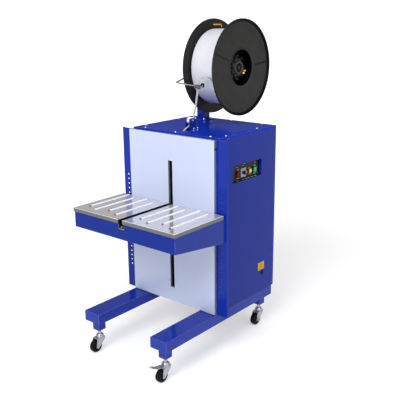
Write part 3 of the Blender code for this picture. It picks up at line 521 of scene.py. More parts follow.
def pan_screw(radius, height):
    """A pan head with a cross recess, standing on x = 0 and looking along +X."""
    crown = [(height * math.sin(a), radius * (0.55 + 0.45 * math.cos(a)))
             for a in [math.radians(15 * k) for k in range(1, 7)]]
    head = bmesh.new()
    lathe(head, [(0.0, 0.0), (0.0, radius)] + crown + [(height, 0.0)], (0.0, 0.0, 0.0), 24)
    wide = radius * 0.12
    long = radius * 0.58
    cross = bmesh.new()
    prism(cross, [(wide, wide), (wide, long), (-wide, long), (-wide, wide), (-long, wide), (-long, -wide),
                  (-wide, -wide), (-wide, -long), (wide, -long), (wide, -wide), (long, -wide), (long, wide)],
          "X", height * 0.35, height * 2)
    return mesh_of(carve(head, cross))


def hex_head(across, height, washer):
    """A chamfered hexagon head and a bolt's end on a washer, looking along +X."""
    bm = bmesh.new()
    lathe(bm, [(0.0, 0.0), (0.0, washer), (0.0012, washer), (0.0014, washer - 0.0004), (0.0014, 0.0)],
          (0, 0, 0), 32)
    top = 0.0014 + height
    nut = bmesh.new()
    prism(nut, circle(across / math.sqrt(3), 6), "X", 0.0014, top)
    bevel_sharp(nut, across * 0.05, 1)
    bm.from_mesh(mesh_of(nut))
    lathe(bm, [(top, 0.0), (top, across * 0.30), (top + 0.002, across * 0.28), (top + 0.002, 0.0)],
          (0, 0, 0), 20)
    return mesh_of(bm)


# ---- base ---------------------------------------------------------------------------------------
def build_base():
    for side, _ in SIDES:
        refine(f"foot_beam_{side}", 0.0007, material=FOOT_PAINT)
        for end in ENDS:
            refine(f"caster_socket_{end}_{side}", material=FOOT_PAINT)
            caster(f"{end}_{side}")
    weld_beads()
    refine("brake_pedal", 0.0007, 3)
    pedal_ribs()


def caster(corner):
    fork = f"caster_fork_{corner}"
    wheel = f"caster_wheel_{corner}"
    refine(fork, 0.0005)
    low, high = span(wheel)
    centre = (low + high) / 2
    half = (high.x - low.x) / 2
    tyre(wheel, centre, half, (high.z - low.z) / 2)
    hub(wheel, centre, half)
    swivel_race(fork, centre)


def tyre(wheel, centre, half, radius):
    """A wheel with dished sides, rounded shoulders and a flat tread."""
    side = [(-half, 0.0046), (-half, 0.0110), (-half + 0.0030, 0.0125), (-half + 0.0030, 0.0200),
            (-half + 0.0006, 0.0215), (-half + 0.0003, radius - 0.0062), (-half + 0.0018, radius - 0.0028),
            (-half + 0.0045, radius - 0.0006), (-half + 0.008, radius)]
    turned(f"{wheel}_tyre", rounded(side + [(-a, r) for a, r in reversed(side)], 0.0012), centre, 64,
           BODY_OF[wheel], "wheel_rubber", None, (wheel,), 40)


def hub(wheel, centre, half):
    """A stepped ring and five rivets on each side of the wheel."""
    ring = ((0.0028, 0.0050), (0.0022, 0.0060), (0.0022, 0.0118), (0.0018, 0.0185), (0.0034, 0.0190))
    rivet = ((0.0030, 0.0), (0.0030, 0.0016), (0.0014, 0.0013), (0.0014, 0.0))
    bm = bmesh.new()
    for sign in (-1, 1):
        lathe(bm, rounded([(sign * (half - depth), radius) for depth, radius in ring], 0.0006), centre, 40)
        for y, z in circle(0.0155, 5):
            lathe(bm, [(sign * (half - depth), radius) for depth, radius in rivet],
                  centre + Vector((0.0, y, z)), 10)
    piece(f"{wheel}_hub", bm, BODY_OF[wheel], "black_plastic")


def swivel_race(fork, centre):
    """Axle nuts on the fork's cheeks, and the race rings below its stem."""
    trail = 0.0295
    race_z = 0.0735
    low, high = span(fork)
    bm = bmesh.new()
    nut = hex_head(0.012, 0.0022, 0.0082)
    for axis, x in (("+X", high.x - 0.0031), ("-X", low.x + 0.0031)):
        stamp(bm, nut, facing(axis, (x, centre.y, centre.z)) @ Matrix.Diagonal((0.72, 1.0, 1.0, 1.0)))
    pivot = (centre.x, centre.y + trail, race_z)
    lathe(bm, rounded([(0.0, 0.0180), (0.0, 0.0205), (0.0022, 0.0212), (0.0030, 0.0206), (0.0030, 0.0180)],
                      0.0006), pivot, 48, "Z")
    lathe(bm, rounded([(0.0100, 0.0150), (0.0100, 0.0192), (0.0118, 0.0196), (0.0128, 0.0150)], 0.0005),
          pivot, 48, "Z")
    piece(f"{fork}_race", bm, BODY_OF[fork], "zinc")


def pedal_ribs():
    """Pressed grip ribs across the pedal's toe, which follow its slope."""
    low, high = span("brake_pedal")
    bm = bmesh.new()
    for k in range(4):
        y = low.y + 0.016 + 0.009 * k
        z = high.z - 0.0052 - 0.0047 * k
        tube(bm, [(low.x + 0.004, y, z), (high.x - 0.004, y, z)], 0.0011, 10)
    piece("pedal_grip_ribs", bm, "pedal", "zinc")


def weld_beads():
    """Slightly uneven weld beads where the caster sockets meet the foot beams."""
    margin = 0.004
    corners = ((-1, -1), (1, -1), (1, 1), (-1, 1), (-1, -1))
    bm = bmesh.new()
    for side, _ in SIDES:
        underside = span(f"foot_beam_{side}")[0].z
        for end in ENDS:
            low, high = span(f"caster_socket_{end}_{side}")
            centre = (low + high) / 2
            half = (high - low) / 2 + Vector((margin, margin, 0.0))
            scale = (half.x - 0.0032) / half.x
            bead = []
            for (ax, ay), (bx, by) in zip(corners, corners[1:]):
                for t in [k / 10 for k in range(10)]:
                    x = half.x * (ax + (bx - ax) * t) + random.uniform(-2e-4, 2e-4)
                    y = half.y * (ay + (by - ay) * t) + random.uniform(-2e-4, 2e-4)
                    bead.append((centre.x + x * scale, centre.y + y * scale, underside + 0.0002))
            tube(bm, bead + bead[:1], 0.0016, 8, capped=False)
    piece("socket_weld_beads", bm, "cabinet", "blue_paint")


# ---- cabinet ------------------------------------------------------------------------------------
COVER_SCREWS = ((-0.002, 0.030), (0.212, 0.038), (-0.212, 0.038), (0.259, 0.096), (-0.262, 0.096),
                (0.255, 0.355), (-0.268, 0.359), (0.0, 0.480), (0.200, 0.480), (-0.200, 0.480))
REAR_SCREW_X = 0.262
REAR_SCREW_HEIGHTS = (0.245, 0.450, 0.655, 0.860, 1.070)
LOUVRE_GROUPS = (0.366, 0.906)
LOUVRE_PITCH = 0.018
GLAND = (-0.2, 0.494, 0.29)
LABEL_Y = 0.3765
LABEL_Z = 0.3655


def build_cabinet():
    for side, sign in SIDES:
        refine(f"side_panel_{side}", 0.0008, 3, PANEL_PAINT)
        upright(side, sign)
    refine("rear_panel")
    refine("top_cover", 0.0008, 3, COVER_PAINT)
    refine("reel_post", 0.0013, 3)
    for node in ("header_rail", "floor_plate", "control_pocket", "strap_guide", "inlet_bracket"):
        refine(node, 0.0005)
    for node in ("front_plate_upper", "front_plate_lower"):
        # The plates' folded returns take a darker grey steel than their faces, as painted shade.
        refine(node, colour_faces=lambda face: abs(face.normal.y) < 0.9, extra=(PLATE_RETURN_SHADE,))
    plate_corners()
    cover_screws()
    cover_bolts()
    rear_screws()
    rear_louvres()
    gland()
    label()


def upright(side, sign):
    """The perforated angle with true round holes and rounded folds."""
    inner = 0.245
    wall = 0.0025
    fold = 0.0035
    low, high = span(f"upright_{side}")
    outer = high.x if sign > 0 else -low.x
    depth = high.y - low.y
    tight = fold - wall
    arc = [math.radians(18 * k) for k in range(6)]
    outline = [(inner, 0.0)]
    outline += [(outer - fold + fold * math.sin(a), fold - fold * math.cos(a)) for a in arc]
    outline += [(outer, depth), (outer - wall, depth)]
    outline += [(outer - fold + tight * math.cos(a), fold - tight * math.sin(a)) for a in arc]
    outline.append((inner, wall))
    bm = bmesh.new()
    prism(bm, [(sign * x, y) for x, y in outline], "Z", low.z, high.z)
    holes = bmesh.new()
    for k in range(HOLE_COUNT):
        rod(holes, -0.01, 0.01, HOLE_RADIUS, (sign * HOLE_X, 0.0, FIRST_HOLE_Z + HOLE_PITCH * k), 28, "Y")
    bm = carve(bm, holes)
    bevel_sharp(bm, 0.0004, 1, 50)
    piece(f"upright_{side}_skin", bm, "cabinet", "blue_paint", replaces=(f"upright_{side}",))


def box_piece(name, boxes, bevel, body, slot, material=None):
    """A piece made of (x, y, z) boxes with rounded edges."""
    bm = bmesh.new()
    for x, y, z in boxes:
        add_box(bm, x, y, z, bevel)
    piece(name, bm, body, slot, material)


def plate_corners():
    """Steel clips and rubber stops at the upper outer corners of the front plates."""
    across = [(sign * 0.2758, sign * 0.2786) for _, sign in SIDES]
    box_piece("plate_clips", [(x, (-0.0140, -0.0010), (1.0600, 1.0955)) for x in across], 0.0006,
              "cabinet", "front_steel", DARK_STEEL_AND_SHADE)
    box_piece("plate_stops", [(x, (-0.0150, -0.0010), (1.0520, 1.0592)) for x in across], 0.0012,
              "cabinet", "black_plastic")


def cover_screws():
    """Pan heads near the cover's edges, each turned its own way."""
    head = pan_screw(0.0062, 0.0031)
    bm = bmesh.new()
    for x, y in COVER_SCREWS:
        turn = Matrix.Rotation(random.uniform(0, math.pi), 4, "X")
        stamp(bm, head, facing("+Z", (x, y, COVER_TOP + 0.0001)) @ turn)
    piece("cover_screws", bm, "cabinet", "zinc", SCREW_STEEL)


def cover_bolts():
    """The bolts of the inlet bracket and of the reel post's foot plate."""
    edge = span("reel_post")[0].x
    groups = ((hex_head(0.0085, 0.0028, 0.0056), (-0.0215, 0.0215), (0.1430, 0.1710), 0.0024),
              (hex_head(0.010, 0.0045, 0.0078), (edge + 0.009, edge + 0.071), both_ways(REEL_Y, 0.031),
               0.0044))
    bm = bmesh.new()
    for bolt, across, along, rise in groups:
        for x in across:
            for y in along:
                stamp(bm, bolt, facing("+Z", (x, y, COVER_TOP + rise)))
    piece("cover_bolts", bm, "cabinet", "zinc", SCREW_STEEL)


def rear_screws():
    """Pan heads down both edges of the rear panel."""
    back = span("rear_panel")[1].y
    head = pan_screw(0.0050, 0.0026)
    bm = bmesh.new()
    for x in both_ways(0.0, REAR_SCREW_X):
        for z in REAR_SCREW_HEIGHTS:
            stamp(bm, head, facing("+Y", (x, back - 0.0002, z)) @ Matrix.Rotation(z * 9, 4, "X"))
    piece("rear_screws", bm, "cabinet", "zinc", SCREW_STEEL)


def rear_louvres():
    """Two groups of six pressed louvres, open at the bottom."""
    back = span("rear_panel")[1].y
    bm = bmesh.new()
    for first in LOUVRE_GROUPS:
        for z in [first + LOUVRE_PITCH * k for k in range(6)]:
            hood = [(back - 0.0008, z + 0.0040)]
            hood += [(back + 0.0052 * math.sin(a), z + 0.0040 * math.cos(a) - 0.0002)
                     for a in [math.radians(18 * k) for k in range(1, 6)]]
            prism(bm, hood + [(y - 0.0009, up - 0.0006) for y, up in reversed(hood)], "X", -0.0705, 0.0705)
    piece("rear_louvres", bm, "cabinet", "blue_paint")


def gland():
    """The cable gland: a sleeve, a knurled dome nut and a hexagon round an empty bore."""
    bm = bmesh.new()
    lathe(bm, rounded([(-0.0140, 0.0040), (-0.0140, 0.0080), (0.0003, 0.0080), (0.0003, 0.0078)], 0.0003),
          GLAND, 40, "Y")

    def knurl(along, radius, angle):
        depth = 0.00025 if radius > 0.009 and along > 0.008 else 0.0
        return along, radius + depth * math.cos(24 * angle)
    lathe(bm, rounded([(0.0072, 0.0040), (0.0072, 0.0112), (0.0085, 0.0116), (0.0175, 0.0106),
                       (0.0210, 0.0082), (0.0219, 0.0068), (0.0219, 0.0042), (0.0100, 0.0040)], 0.0012),
          GLAND, 48, "Y", knurl)
    hexagon = bmesh.new()
    prism(hexagon, circle(0.0128, 6, (GLAND[0], GLAND[2])), "Y", GLAND[1] + 0.0004, GLAND[1] + 0.0070)
    bore = bmesh.new()
    rod(bore, -0.02, 0.02, 0.0042, GLAND, 32, "Y")
    hexagon = carve(hexagon, bore)
    bevel_sharp(hexagon, 0.0006, 2, 40)
    bm.from_mesh(mesh_of(hexagon))
    piece("cable_gland_skin", bm, "cabinet", "black_plastic", replaces=("cable_gland",))


def label():
    """A plain yellow plate with a border round a darker field, without any sign or lettering."""
    wide = 0.0245
    high = 0.0175
    edge = 0.0012
    ink = (PANEL_SIDE + 0.0005, PANEL_SIDE + 0.0008)
    plate = (PANEL_SIDE + 0.00005, PANEL_SIDE + 0.0006)
    box_piece("plain_label", [(plate, both_ways(LABEL_Y, 0.0275), both_ways(LABEL_Z, 0.0205))], 0.0002,
              "cabinet", "button_yellow", LABEL_YELLOW)
    bars = [(ink, both_ways(LABEL_Y, wide), both_ways(z, edge / 2))
            for z in both_ways(LABEL_Z, high - edge / 2)]
    bars += [(ink, both_ways(y, edge / 2), both_ways(LABEL_Z, high))
             for y in both_ways(LABEL_Y, wide - edge / 2)]
    box_piece("plain_label_border", bars, 0.0001, "cabinet", "black_plastic", DARK_GAP)
    box_piece("plain_label_field", [(ink, both_ways(LABEL_Y, 0.0175), both_ways(LABEL_Z, 0.0125))], 0.0001,
              "cabinet", "button_yellow", LABEL_FIELD)


# ---- controls -----------------------------------------------------------------------------------
SQUARE_BUTTONS = ("button_yellow", "button_green")
PANEL_SCREW_Y = (0.134, 0.248, 0.360)
PANEL_SCREW_Z = (0.874, 0.942)
# Each dash's middle and half its length; the ones on the sill share one height. Some dashes, such as the one
# under the rocker's bezel, are painted highlights on bezel edges.
PANEL_DASHES_AND_GLINTS = ((0.1792, 0.9337, 0.0044), (0.2286, 0.9357, 0.0034), (0.3292, 0.9345, 0.0048),
                (0.1880, 0.9205, 0.0080), (0.1880, 0.8775, 0.0090), (0.2754, 0.9135, 0.0030),
                (0.2860, 0.9150, 0.0040), (0.3265, 0.9190, 0.0085), (0.3265, 0.8790, 0.0085),
                (0.2850, 0.8830, 0.0050), (0.3480, 0.9100, 0.0018))
SILL_DASHES = ((0.1786, 0.0050), (0.2252, 0.0062), (0.2498, 0.0040), (0.2700, 0.0072), (0.3017, 0.0075),
               (0.3308, 0.0068))
LOCK_Y = 0.386
LOCK_Z = 0.324


def build_controls():
    refine("control_plate", 0.0004, material=PANEL_BLACK)
    refine("selector_plate", 0.0008, 3, GREY_PLATE)
    refine("power_rocker", 0.0009, 3)
    bezels()
    for node in SQUARE_BUTTONS:
        square_lens(node)
    red_cap()
    knob()
    panel_screws()
    panel_marks()
    lock()


def ring_box(bm, x, y, z, wall):
    """A rectangular frame lying in the panel's plane."""
    parts = []
    for inset, reach in ((0.0, 0.0), (wall, 0.01)):
        parts.append(bmesh.new())
        left, right, base, top = y[0] + inset, y[1] - inset, z[0] + inset, z[1] - inset
        prism(parts[-1], [(left, base), (right, base), (right, top), (left, top)], "X",
              x[0] - reach, x[1] + reach)
    ring = carve(*parts)
    bevel_sharp(ring, 0.0006)
    bm.from_mesh(mesh_of(ring))


def bezels():
    """Black frames round the rocker and the two square buttons."""
    foot = CONTROL_FACE + 0.0001
    margin = 0.0022
    bm = bmesh.new()
    low, high = span("power_rocker")
    ring_box(bm, (foot, CONTROL_FACE + 0.0026), (low.y - 0.0030, high.y + 0.0030),
             both_ways(CONTROL_Z, 0.0190), 0.0027)
    for node in SQUARE_BUTTONS:
        low, high = span(node)
        ring_box(bm, (foot, CONTROL_FACE + 0.0042), (low.y - margin, high.y + margin),
                 (low.z - margin, high.z + margin), margin - 0.0005)
    piece("control_bezels", bm, "cabinet", "black_plastic", MATERIALS["knob_black"])


def red_cap():
    """The domed red button in its plated collar."""
    low, high = span("button_red")
    y = (low.y + high.y) / 2
    half = (high.y - low.y) / 2
    depth = high.x - low.x
    dome = [(depth * (0.65 + 0.35 * math.cos(a)), half * 1.09 * math.sin(a))
            for a in [math.radians(9 * k) for k in range(10, 0, -1)]]
    foot = [(0.0, 0.0), (0.0, half * 0.9), (depth * 0.35, half * 0.9)]
    turned("button_red_cap", foot + dome + [(depth, 0.0)], (low.x, y, CONTROL_Z), 40,
           "red", "button_red", replaces=("button_red",))
    collar = [(0.0001, 0.0082), (0.0001, 0.0105), (0.0022, 0.0103), (0.0030, 0.0096), (0.0030, 0.0082)]
    turned("button_red_collar", rounded(collar, 0.0005), (CONTROL_FACE + 0.0028, y, CONTROL_Z), 40,
           "cabinet", "zinc")


def square_lens(node):
    """A square lens with a crowned face and a darker rim."""
    low, high = span(node)
    middle = (low + high) / 2
    half = (high - low) / 2
    cuts = range(9)
    grid = {}
    bm = bmesh.new()
    for i in cuts:
        for j in cuts:
            u = i / 4 - 1
            v = j / 4 - 1
            crown = 1 - 0.11 * (u ** 4 + v ** 4)
            grid[i, j] = bm.verts.new((low.x + (high.x - low.x) * crown, middle.y + u * half.y,
                                       middle.z + v * half.z))
    for i in cuts[:-1]:
        for j in cuts[:-1]:
            bm.faces.new((grid[i, j], grid[i + 1, j], grid[i + 1, j + 1], grid[i, j + 1]))
    for part in bmesh.ops.extrude_face_region(bm, geom=bm.faces[:])["geom"]:
        if isinstance(part, bmesh.types.BMVert):
            part.co.x = low.x
    bevel_sharp(bm, 0.0006, 2, 50)
    for face in bm.faces:
        place = face.calc_center_median() - middle
        if max(abs(place.y / half.y), abs(place.z / half.z)) > 0.8:
            face.material_index = 1
    piece(f"{node}_lens", bm, BODY_OF[node], SLOT_OF[node], replaces=(node,), extra=(LENS_EDGES[node],))


def knob():
    """A round skirt with a waisted grip and a pale pointer line."""
    low, high = span("selector_knob")
    y = (low.y + high.y) / 2
    bm = bmesh.new()
    lathe(bm, rounded([(0.0, 0.0), (0.0, 0.0078), (0.0022, 0.0079), (0.0030, 0.0075), (0.0052, 0.0072),
                       (0.0070, 0.0048), (0.0070, 0.0)], 0.0007), (low.x, y, CONTROL_Z), 48)
    grip = [(y + side * (0.0022 + 0.0008 * math.cos(math.pi * t)), CONTROL_Z + 0.0088 * t)
            for side in (1, -1) for t in [side * (0.4 * k - 1) for k in range(6)]]
    bar = bmesh.new()
    prism(bar, grip, "X", low.x + 0.0040, high.x)
    bevel_sharp(bar, 0.0007, 3, 40)
    bm.from_mesh(mesh_of(bar))
    piece("selector_knob_grip", bm, "knob", "knob_black", replaces=("selector_knob",))
    box_piece("selector_pointer", [((high.x - 0.0004, high.x + 0.0001), both_ways(y, 0.0005),
                                    (CONTROL_Z + 0.0016, CONTROL_Z + 0.0064))], 0.0001,
              "knob", "white_nylon", PALE_MARK_AND_GLINT)


def panel_screws():
    """Pan heads at the control plate's corners and halfway along it."""
    head = pan_screw(0.0026, 0.0012)
    bm = bmesh.new()
    for y in PANEL_SCREW_Y:
        for z in PANEL_SCREW_Z:
            stamp(bm, head, facing("+X", (CONTROL_FACE, y, z)) @ Matrix.Rotation(y * 40, 4, "X"))
    piece("panel_screws", bm, "cabinet", "zinc", SCREW_STEEL)


def panel_marks():
    """Pale dashes round the controls, partly print and partly painted highlights on the bezels' edges,
    printed dashes along the pocket's sill, and the panel's end seal.
    """
    bm = bmesh.new()
    for y, z, half in PANEL_DASHES_AND_GLINTS:
        add_box(bm, (CONTROL_FACE - 0.0001, CONTROL_FACE + 0.0046), both_ways(y, half), both_ways(z, 0.0009),
                0.0002)
    for y, half in SILL_DASHES:
        add_box(bm, (0.2645, 0.2675), both_ways(y, half), (0.8652, 0.8674), 0.0003)
    piece("panel_dashes_and_glints", bm, "cabinet", "white_nylon", PALE_MARK_AND_GLINT)
    box_piece("panel_end_seal", [((CONTROL_FACE - 0.0001, CONTROL_FACE + 0.0012), (0.3585, 0.3692),
                                  (0.8662, 0.9490))], 0.0004, "cabinet", "black_plastic", BLACK_AND_SHADE)


def lock():
    """The quarter-turn lock's barrel with its keyway."""
    bm = copy_of("panel_lock")
    bevel_sharp(bm, 0.0003, 2, 40)
    keyway = bmesh.new()
    add_box(keyway, (PANEL_SIDE + 0.0015, PANEL_SIDE + 0.01), both_ways(LOCK_Y, 0.0009),
            both_ways(LOCK_Z, 0.0048))
    piece("panel_lock_barrel", carve(bm, keyway), "lock", "lock_black", replaces=("panel_lock",))


# ---- table --------------------------------------------------------------------------------------
TABLE_BOLT_HEIGHTS = (0.628, 0.703)
GAP_HALF = 0.012
# The left plate's front rim is black, as painted shade, from here to the gap.
GAP_CORNER = -0.0185
GLIDE_HALF = 0.0062
# Each glide strip's X, front end, back end and whether a red plug stands in its front.
GLIDES = ((-0.285, -0.297, -0.021, True), (-0.221, -0.317, -0.057, False), (-0.152, -0.295, -0.028, True),
          (-0.079, -0.324, -0.064, True), (0.060, -0.295, -0.030, True), (0.127, -0.320, -0.057, True),
          (0.195, -0.291, -0.020, True), (0.262, -0.317, -0.049, True))


def build_table():
    # The frame's sides take the paler paint as painted light, the rest the darker paint as painted shade.
    refine("table_frame", 0.0012, 3, TABLE_PAINT_SHADED, lambda face: abs(face.normal.x) > 0.9, (TABLE_SIDE_PAINT_LIT,))
    for side, _ in SIDES:
        tray(f"table_plate_{side}")
    # The strap channel and the trims along the gap are black as painted shade in the slot.
    refine("strap_channel", 0.0004, material=BLACK_AND_SHADE)
    trims = [((sign * 0.0086, sign * 0.0122), (TABLE_FRONT + 0.0015, TABLE_BACK - 0.0010),
              (TABLE_TOP - 0.0006, TABLE_TOP + 0.0008)) for _, sign in SIDES]
    box_piece("channel_trims", trims, 0.0004, "table", "black_plastic", BLACK_AND_SHADE)
    glides()
    notch_liner()
    table_bolts()


def tray(node):
    """A polished top with a rounded bend in pale steel as a painted highlight, a return in darker steel as
    painted shade, and black corners at the strap gap as painted shade.
    """
    bm = copy_of(node)
    bm.normal_update()
    bend = [e for e in bm.edges if min(v.co.z for v in e.verts) > TABLE_TOP - 1e-4
            and max(abs(v.co.x) for v in e.verts) > GAP_HALF
            and len(e.link_faces) == 2 and e.calc_face_angle(0.0) > 0.5]
    made = round_off(bm, bend, 0.0020, 4)
    bm.normal_update()
    for face in bm.faces:
        # Painted shade on the returns in the darker steel, and a painted highlight on the bend in the pale
        # steel.
        face.material_index = int(abs(face.normal.z) < 0.6)
    for face in made["faces"]:
        face.material_index = 2
    bmesh.ops.bisect_plane(bm, geom=bm.verts[:] + bm.edges[:] + bm.faces[:], dist=1e-6,
                           plane_co=(GAP_CORNER, 0.0, 0.0), plane_no=(1.0, 0.0, 0.0))
    # Black in the strap gap and on the left plate's rim beside it, as painted shade.
    for face in bm.faces:
        x = face.calc_center_median().x
        in_gap = abs(x) < GAP_HALF and abs(face.normal.z) < 0.6
        if in_gap or (GAP_CORNER < x < 0.0 and face.normal.y < -0.3):
            face.material_index = 3
    piece(f"{node}_skin", bm, "table", "polished_steel", replaces=(node,), angle=40,
          extra=(DARK_STEEL_AND_SHADE, BEND_HIGHLIGHT, BLACK_AND_SHADE))


def glides():
    """Low white rails with rounded ends, most with a red plug at the front."""
    white = bmesh.new()
    red = bmesh.new()
    plug = rounded([(-0.0001, 0.0), (-0.0001, 0.0054), (0.0022, 0.0054), (0.0034, 0.0036), (0.0034, 0.0)],
                   0.0008)
    for x, front, back, plugged in GLIDES:
        start = front + (0.0112 if plugged else 0.0)
        outline = []
        for end, base in ((back - GLIDE_HALF, 0.0), (start + GLIDE_HALF, math.pi)):
            for a in [base + math.pi * k / 8 for k in range(9)]:
                outline.append((x + GLIDE_HALF * math.cos(a), end + GLIDE_HALF * math.sin(a)))
        rail = bmesh.new()
        prism(rail, outline, "Z", TABLE_TOP - 0.0001, TABLE_TOP + 0.0022)
        bevel_sharp(rail, 0.0007, 3, 40)
        white.from_mesh(mesh_of(rail))
        if plugged:
            lathe(red, plug, (x, front + 0.0054, TABLE_TOP), 24, "Z")
    piece("glide_strips", white, "table", "white_nylon")
    piece("glide_plugs", red, "table", "button_red", RED_PLUG)


def notch_liner():
    """The folded steel channel that lines the notch in the fascia below the strap gap."""
    x = 0.0182
    wall = 0.0016
    y = (TABLE_FRONT + 0.0010, TABLE_FRONT + 0.0055)
    low, high = 0.7022, 0.7292
    right = [(x - 0.002, low), (x, low + 0.002), (x, high), (x - wall, high), (x - wall, low + 0.0026),
             (x - wall - 0.001, low + wall)]
    outline = [(-a, b) for a, b in reversed(right[:3])] + right + [(-a, b) for a, b in reversed(right[3:])]
    bm = bmesh.new()
    prism(bm, outline, "Y", *y)
    bevel_sharp(bm, 0.0003, 2, 40)
    # A small polished block inside the notch, placed as a painted highlight.
    add_box(bm, (-0.0035, 0.0070), (y[0] + 0.001, y[1]), (low + 0.0070, low + 0.0165), 0.0012)
    piece("notch_liner", bm, "table", "polished_steel", DARK_STEEL_AND_SHADE)


def table_bolts():
    """Two hexagon bolts each side through the lugs and the uprights' holes, with nuts behind."""
    nut_end = hex_head(0.013, 0.0055, 0.0085)
    bolt_end = hex_head(0.013, 0.0050, 0.0085)
    bm = bmesh.new()
    for _, sign in SIDES:
        for z in TABLE_BOLT_HEIGHTS:
            x = sign * HOLE_X
            lathe(bm, [(-0.0180, 0.0), (-0.0180, 0.0039), (0.0105, 0.0039), (0.0110, 0.0033), (0.0110, 0.0)],
                  (x, 0.0, z), 20, "Y")
            stamp(bm, nut_end, facing("+Y", (x, 0.0026, z)))
            stamp(bm, bolt_end, facing("-Y", (x, TABLE_BACK - 0.0022, z)))
    piece("table_bolts", bm, "table", "zinc", SCREW_STEEL)


# ---- reel ---------------------------------------------------------------------------------------
CREASES = (5.0, 159.0)
CREASE_START = 0.104
CREASE_END = 0.234
COIL_TURNS = 13
COIL_RADIUS = 0.0984
HUB_BORE = 0.0226
STRAP_POINTS = [(0.066, 0.2345, 1.3320), (0.062, 0.2290, 1.3440), (0.054, 0.2170, 1.3530),
                (0.045, 0.2040, 1.3545), (0.036, 0.1930, 1.3480), (0.029, 0.1860, 1.3370),
                (0.023, 0.1820, 1.3200), (0.019, 0.1790, 1.2925), (0.0155, 0.1720, 1.2450),
                (0.011, 0.1675, 1.2000), (0.008, 0.1652, 1.1830), (0.004, 0.1622, 1.1650)]
# Each arc's middle in Y and Z, its radius, its first angle and how far it turns.
STRAP_ARCS = ((0.1425, 1.145, 0.0172, 0.0, -64.2), (0.093, 1.0742, 0.025, 115.8, 64.2))
STRAP_END = [(0.0, 0.068, 1.000), (0.0, 0.068, 0.9245)]


def build_reel():
    near_disc()
    far_disc()
    coil()
    core()
    nut()
    spindle()
    wire()
    strap()
    inlet()


def crease(angle, radius):
    """Depth of the two shallow moulding creases that run out from the hub."""
    if not CREASE_START < radius < CREASE_END:
        return 0.0
    away = [math.radians((math.degrees(angle) - line + 180) % 360 - 180) for line in CREASES]
    depth = sum(math.exp(-(turn * radius / 0.0042) ** 2) for turn in away)
    return 0.0016 * depth * min(1.0, (radius - CREASE_START) / 0.02, (CREASE_END - radius) / 0.02)


def near_disc():
    """The outer disc: a stepped rim, a creased flat face and a cup round the hub; the lip's inner wall and
    the cup are black and the creases darker, as painted shade.
    """
    low, high = span("near_disc")
    cup = low.x
    outer = high.x
    inner = outer - 0.010
    face = outer - 0.0095
    rim = DISC_RADIUS
    profile = [(cup, HUB_BORE), (cup, 0.0900), (cup + 0.001, 0.0923), (face - 0.0055, 0.0923),
               (face - 0.0035, 0.0945), (face - 0.0030, 0.105), (face - 0.0022, rim - 0.012),
               (inner, rim - 0.0085), (inner, rim - 0.001), (inner + 0.001, rim), (outer - 0.0012, rim),
               (outer, rim - 0.0012), (outer, rim - 0.0030), (outer - 0.0010, rim - 0.0042),
               (face + 0.0008, rim - 0.0130)]
    profile += [(face, rim - 0.0145 - (rim - 0.0145 - CREASE_START) * k / 14) for k in range(15)]
    profile += [(face + 0.0006, 0.0990), (face + 0.0016, 0.0960), (face + 0.0016, 0.0925), (face, 0.0908),
                (cup + 0.0045, 0.0904), (cup + 0.0032, 0.0890), (cup + 0.0030, HUB_BORE)]

    def sunk(along, radius, angle):
        return along - (crease(angle, radius) if along > face - 0.001 else 0.0), radius
    bm = bmesh.new()
    lathe(bm, profile, REEL, 216, shape=sunk)
    for part in bm.faces:
        x, y, z = part.calc_center_median() - Vector(REEL)
        radius = math.hypot(y, z)
        # Painted shade: black on the lip's inner wall and in the cup, a darker grey in the creases.
        if (rim - 0.0142 < radius < rim - 0.0032 and x > face) or (radius < 0.0925 and x < face - 0.0002):
            part.material_index = 1
        elif crease(math.atan2(z, y), radius) > 0.0007:
            part.material_index = 2
    piece("near_disc_skin", bm, "outer_disc", "disc_plastic", replaces=("near_disc",),
          extra=(BLACK_AND_SHADE, CREASE_SHADE))


def far_disc():
    """The fixed disc, in a darker copy of the disc plastic as painted shade, with a plain orange strip on
    its inner face.
    """
    low, high = span("far_disc")
    left = low.x
    face = high.x - 0.0026
    rim = DISC_RADIUS
    profile = [(face + 0.0024, HUB_BORE), (face + 0.0024, 0.102)]
    profile += [(face, 0.106 + (rim - 0.013 - 0.106) * k / 12) for k in range(13)]
    profile += [(face + 0.0004, rim - 0.0100), (face + 0.0010, rim - 0.0085), (face + 0.0010, rim - 0.001),
                (face, rim), (left + 0.0012, rim), (left, rim - 0.0014), (left, rim - 0.0075),
                (left + 0.0020, rim - 0.0092), (left + 0.0050, rim - 0.012), (left + 0.0078, 0.105),
                (left + 0.0082, HUB_BORE)]

    def sunk(along, radius, angle):
        return along + (crease(angle, radius) * 0.7 if along < left + 0.0079 else 0.0), radius
    turned("far_disc_skin", profile, REEL, 216, "reel", "disc_plastic", FAR_DISC_SHADED, ("far_disc",), 50, sunk)
    x = (face + 0.00005, face + 0.00075)
    end = REEL_Y + 0.068
    top = REEL_Z + 0.2150
    box_piece("far_disc_strip", [(x, (REEL_Y - 0.004, end), (top - 0.0065, top)),
                                 (x, (end - 0.008, end), (top - 0.0165, top))], 0.0002,
              "reel", "button_yellow", ORANGE)


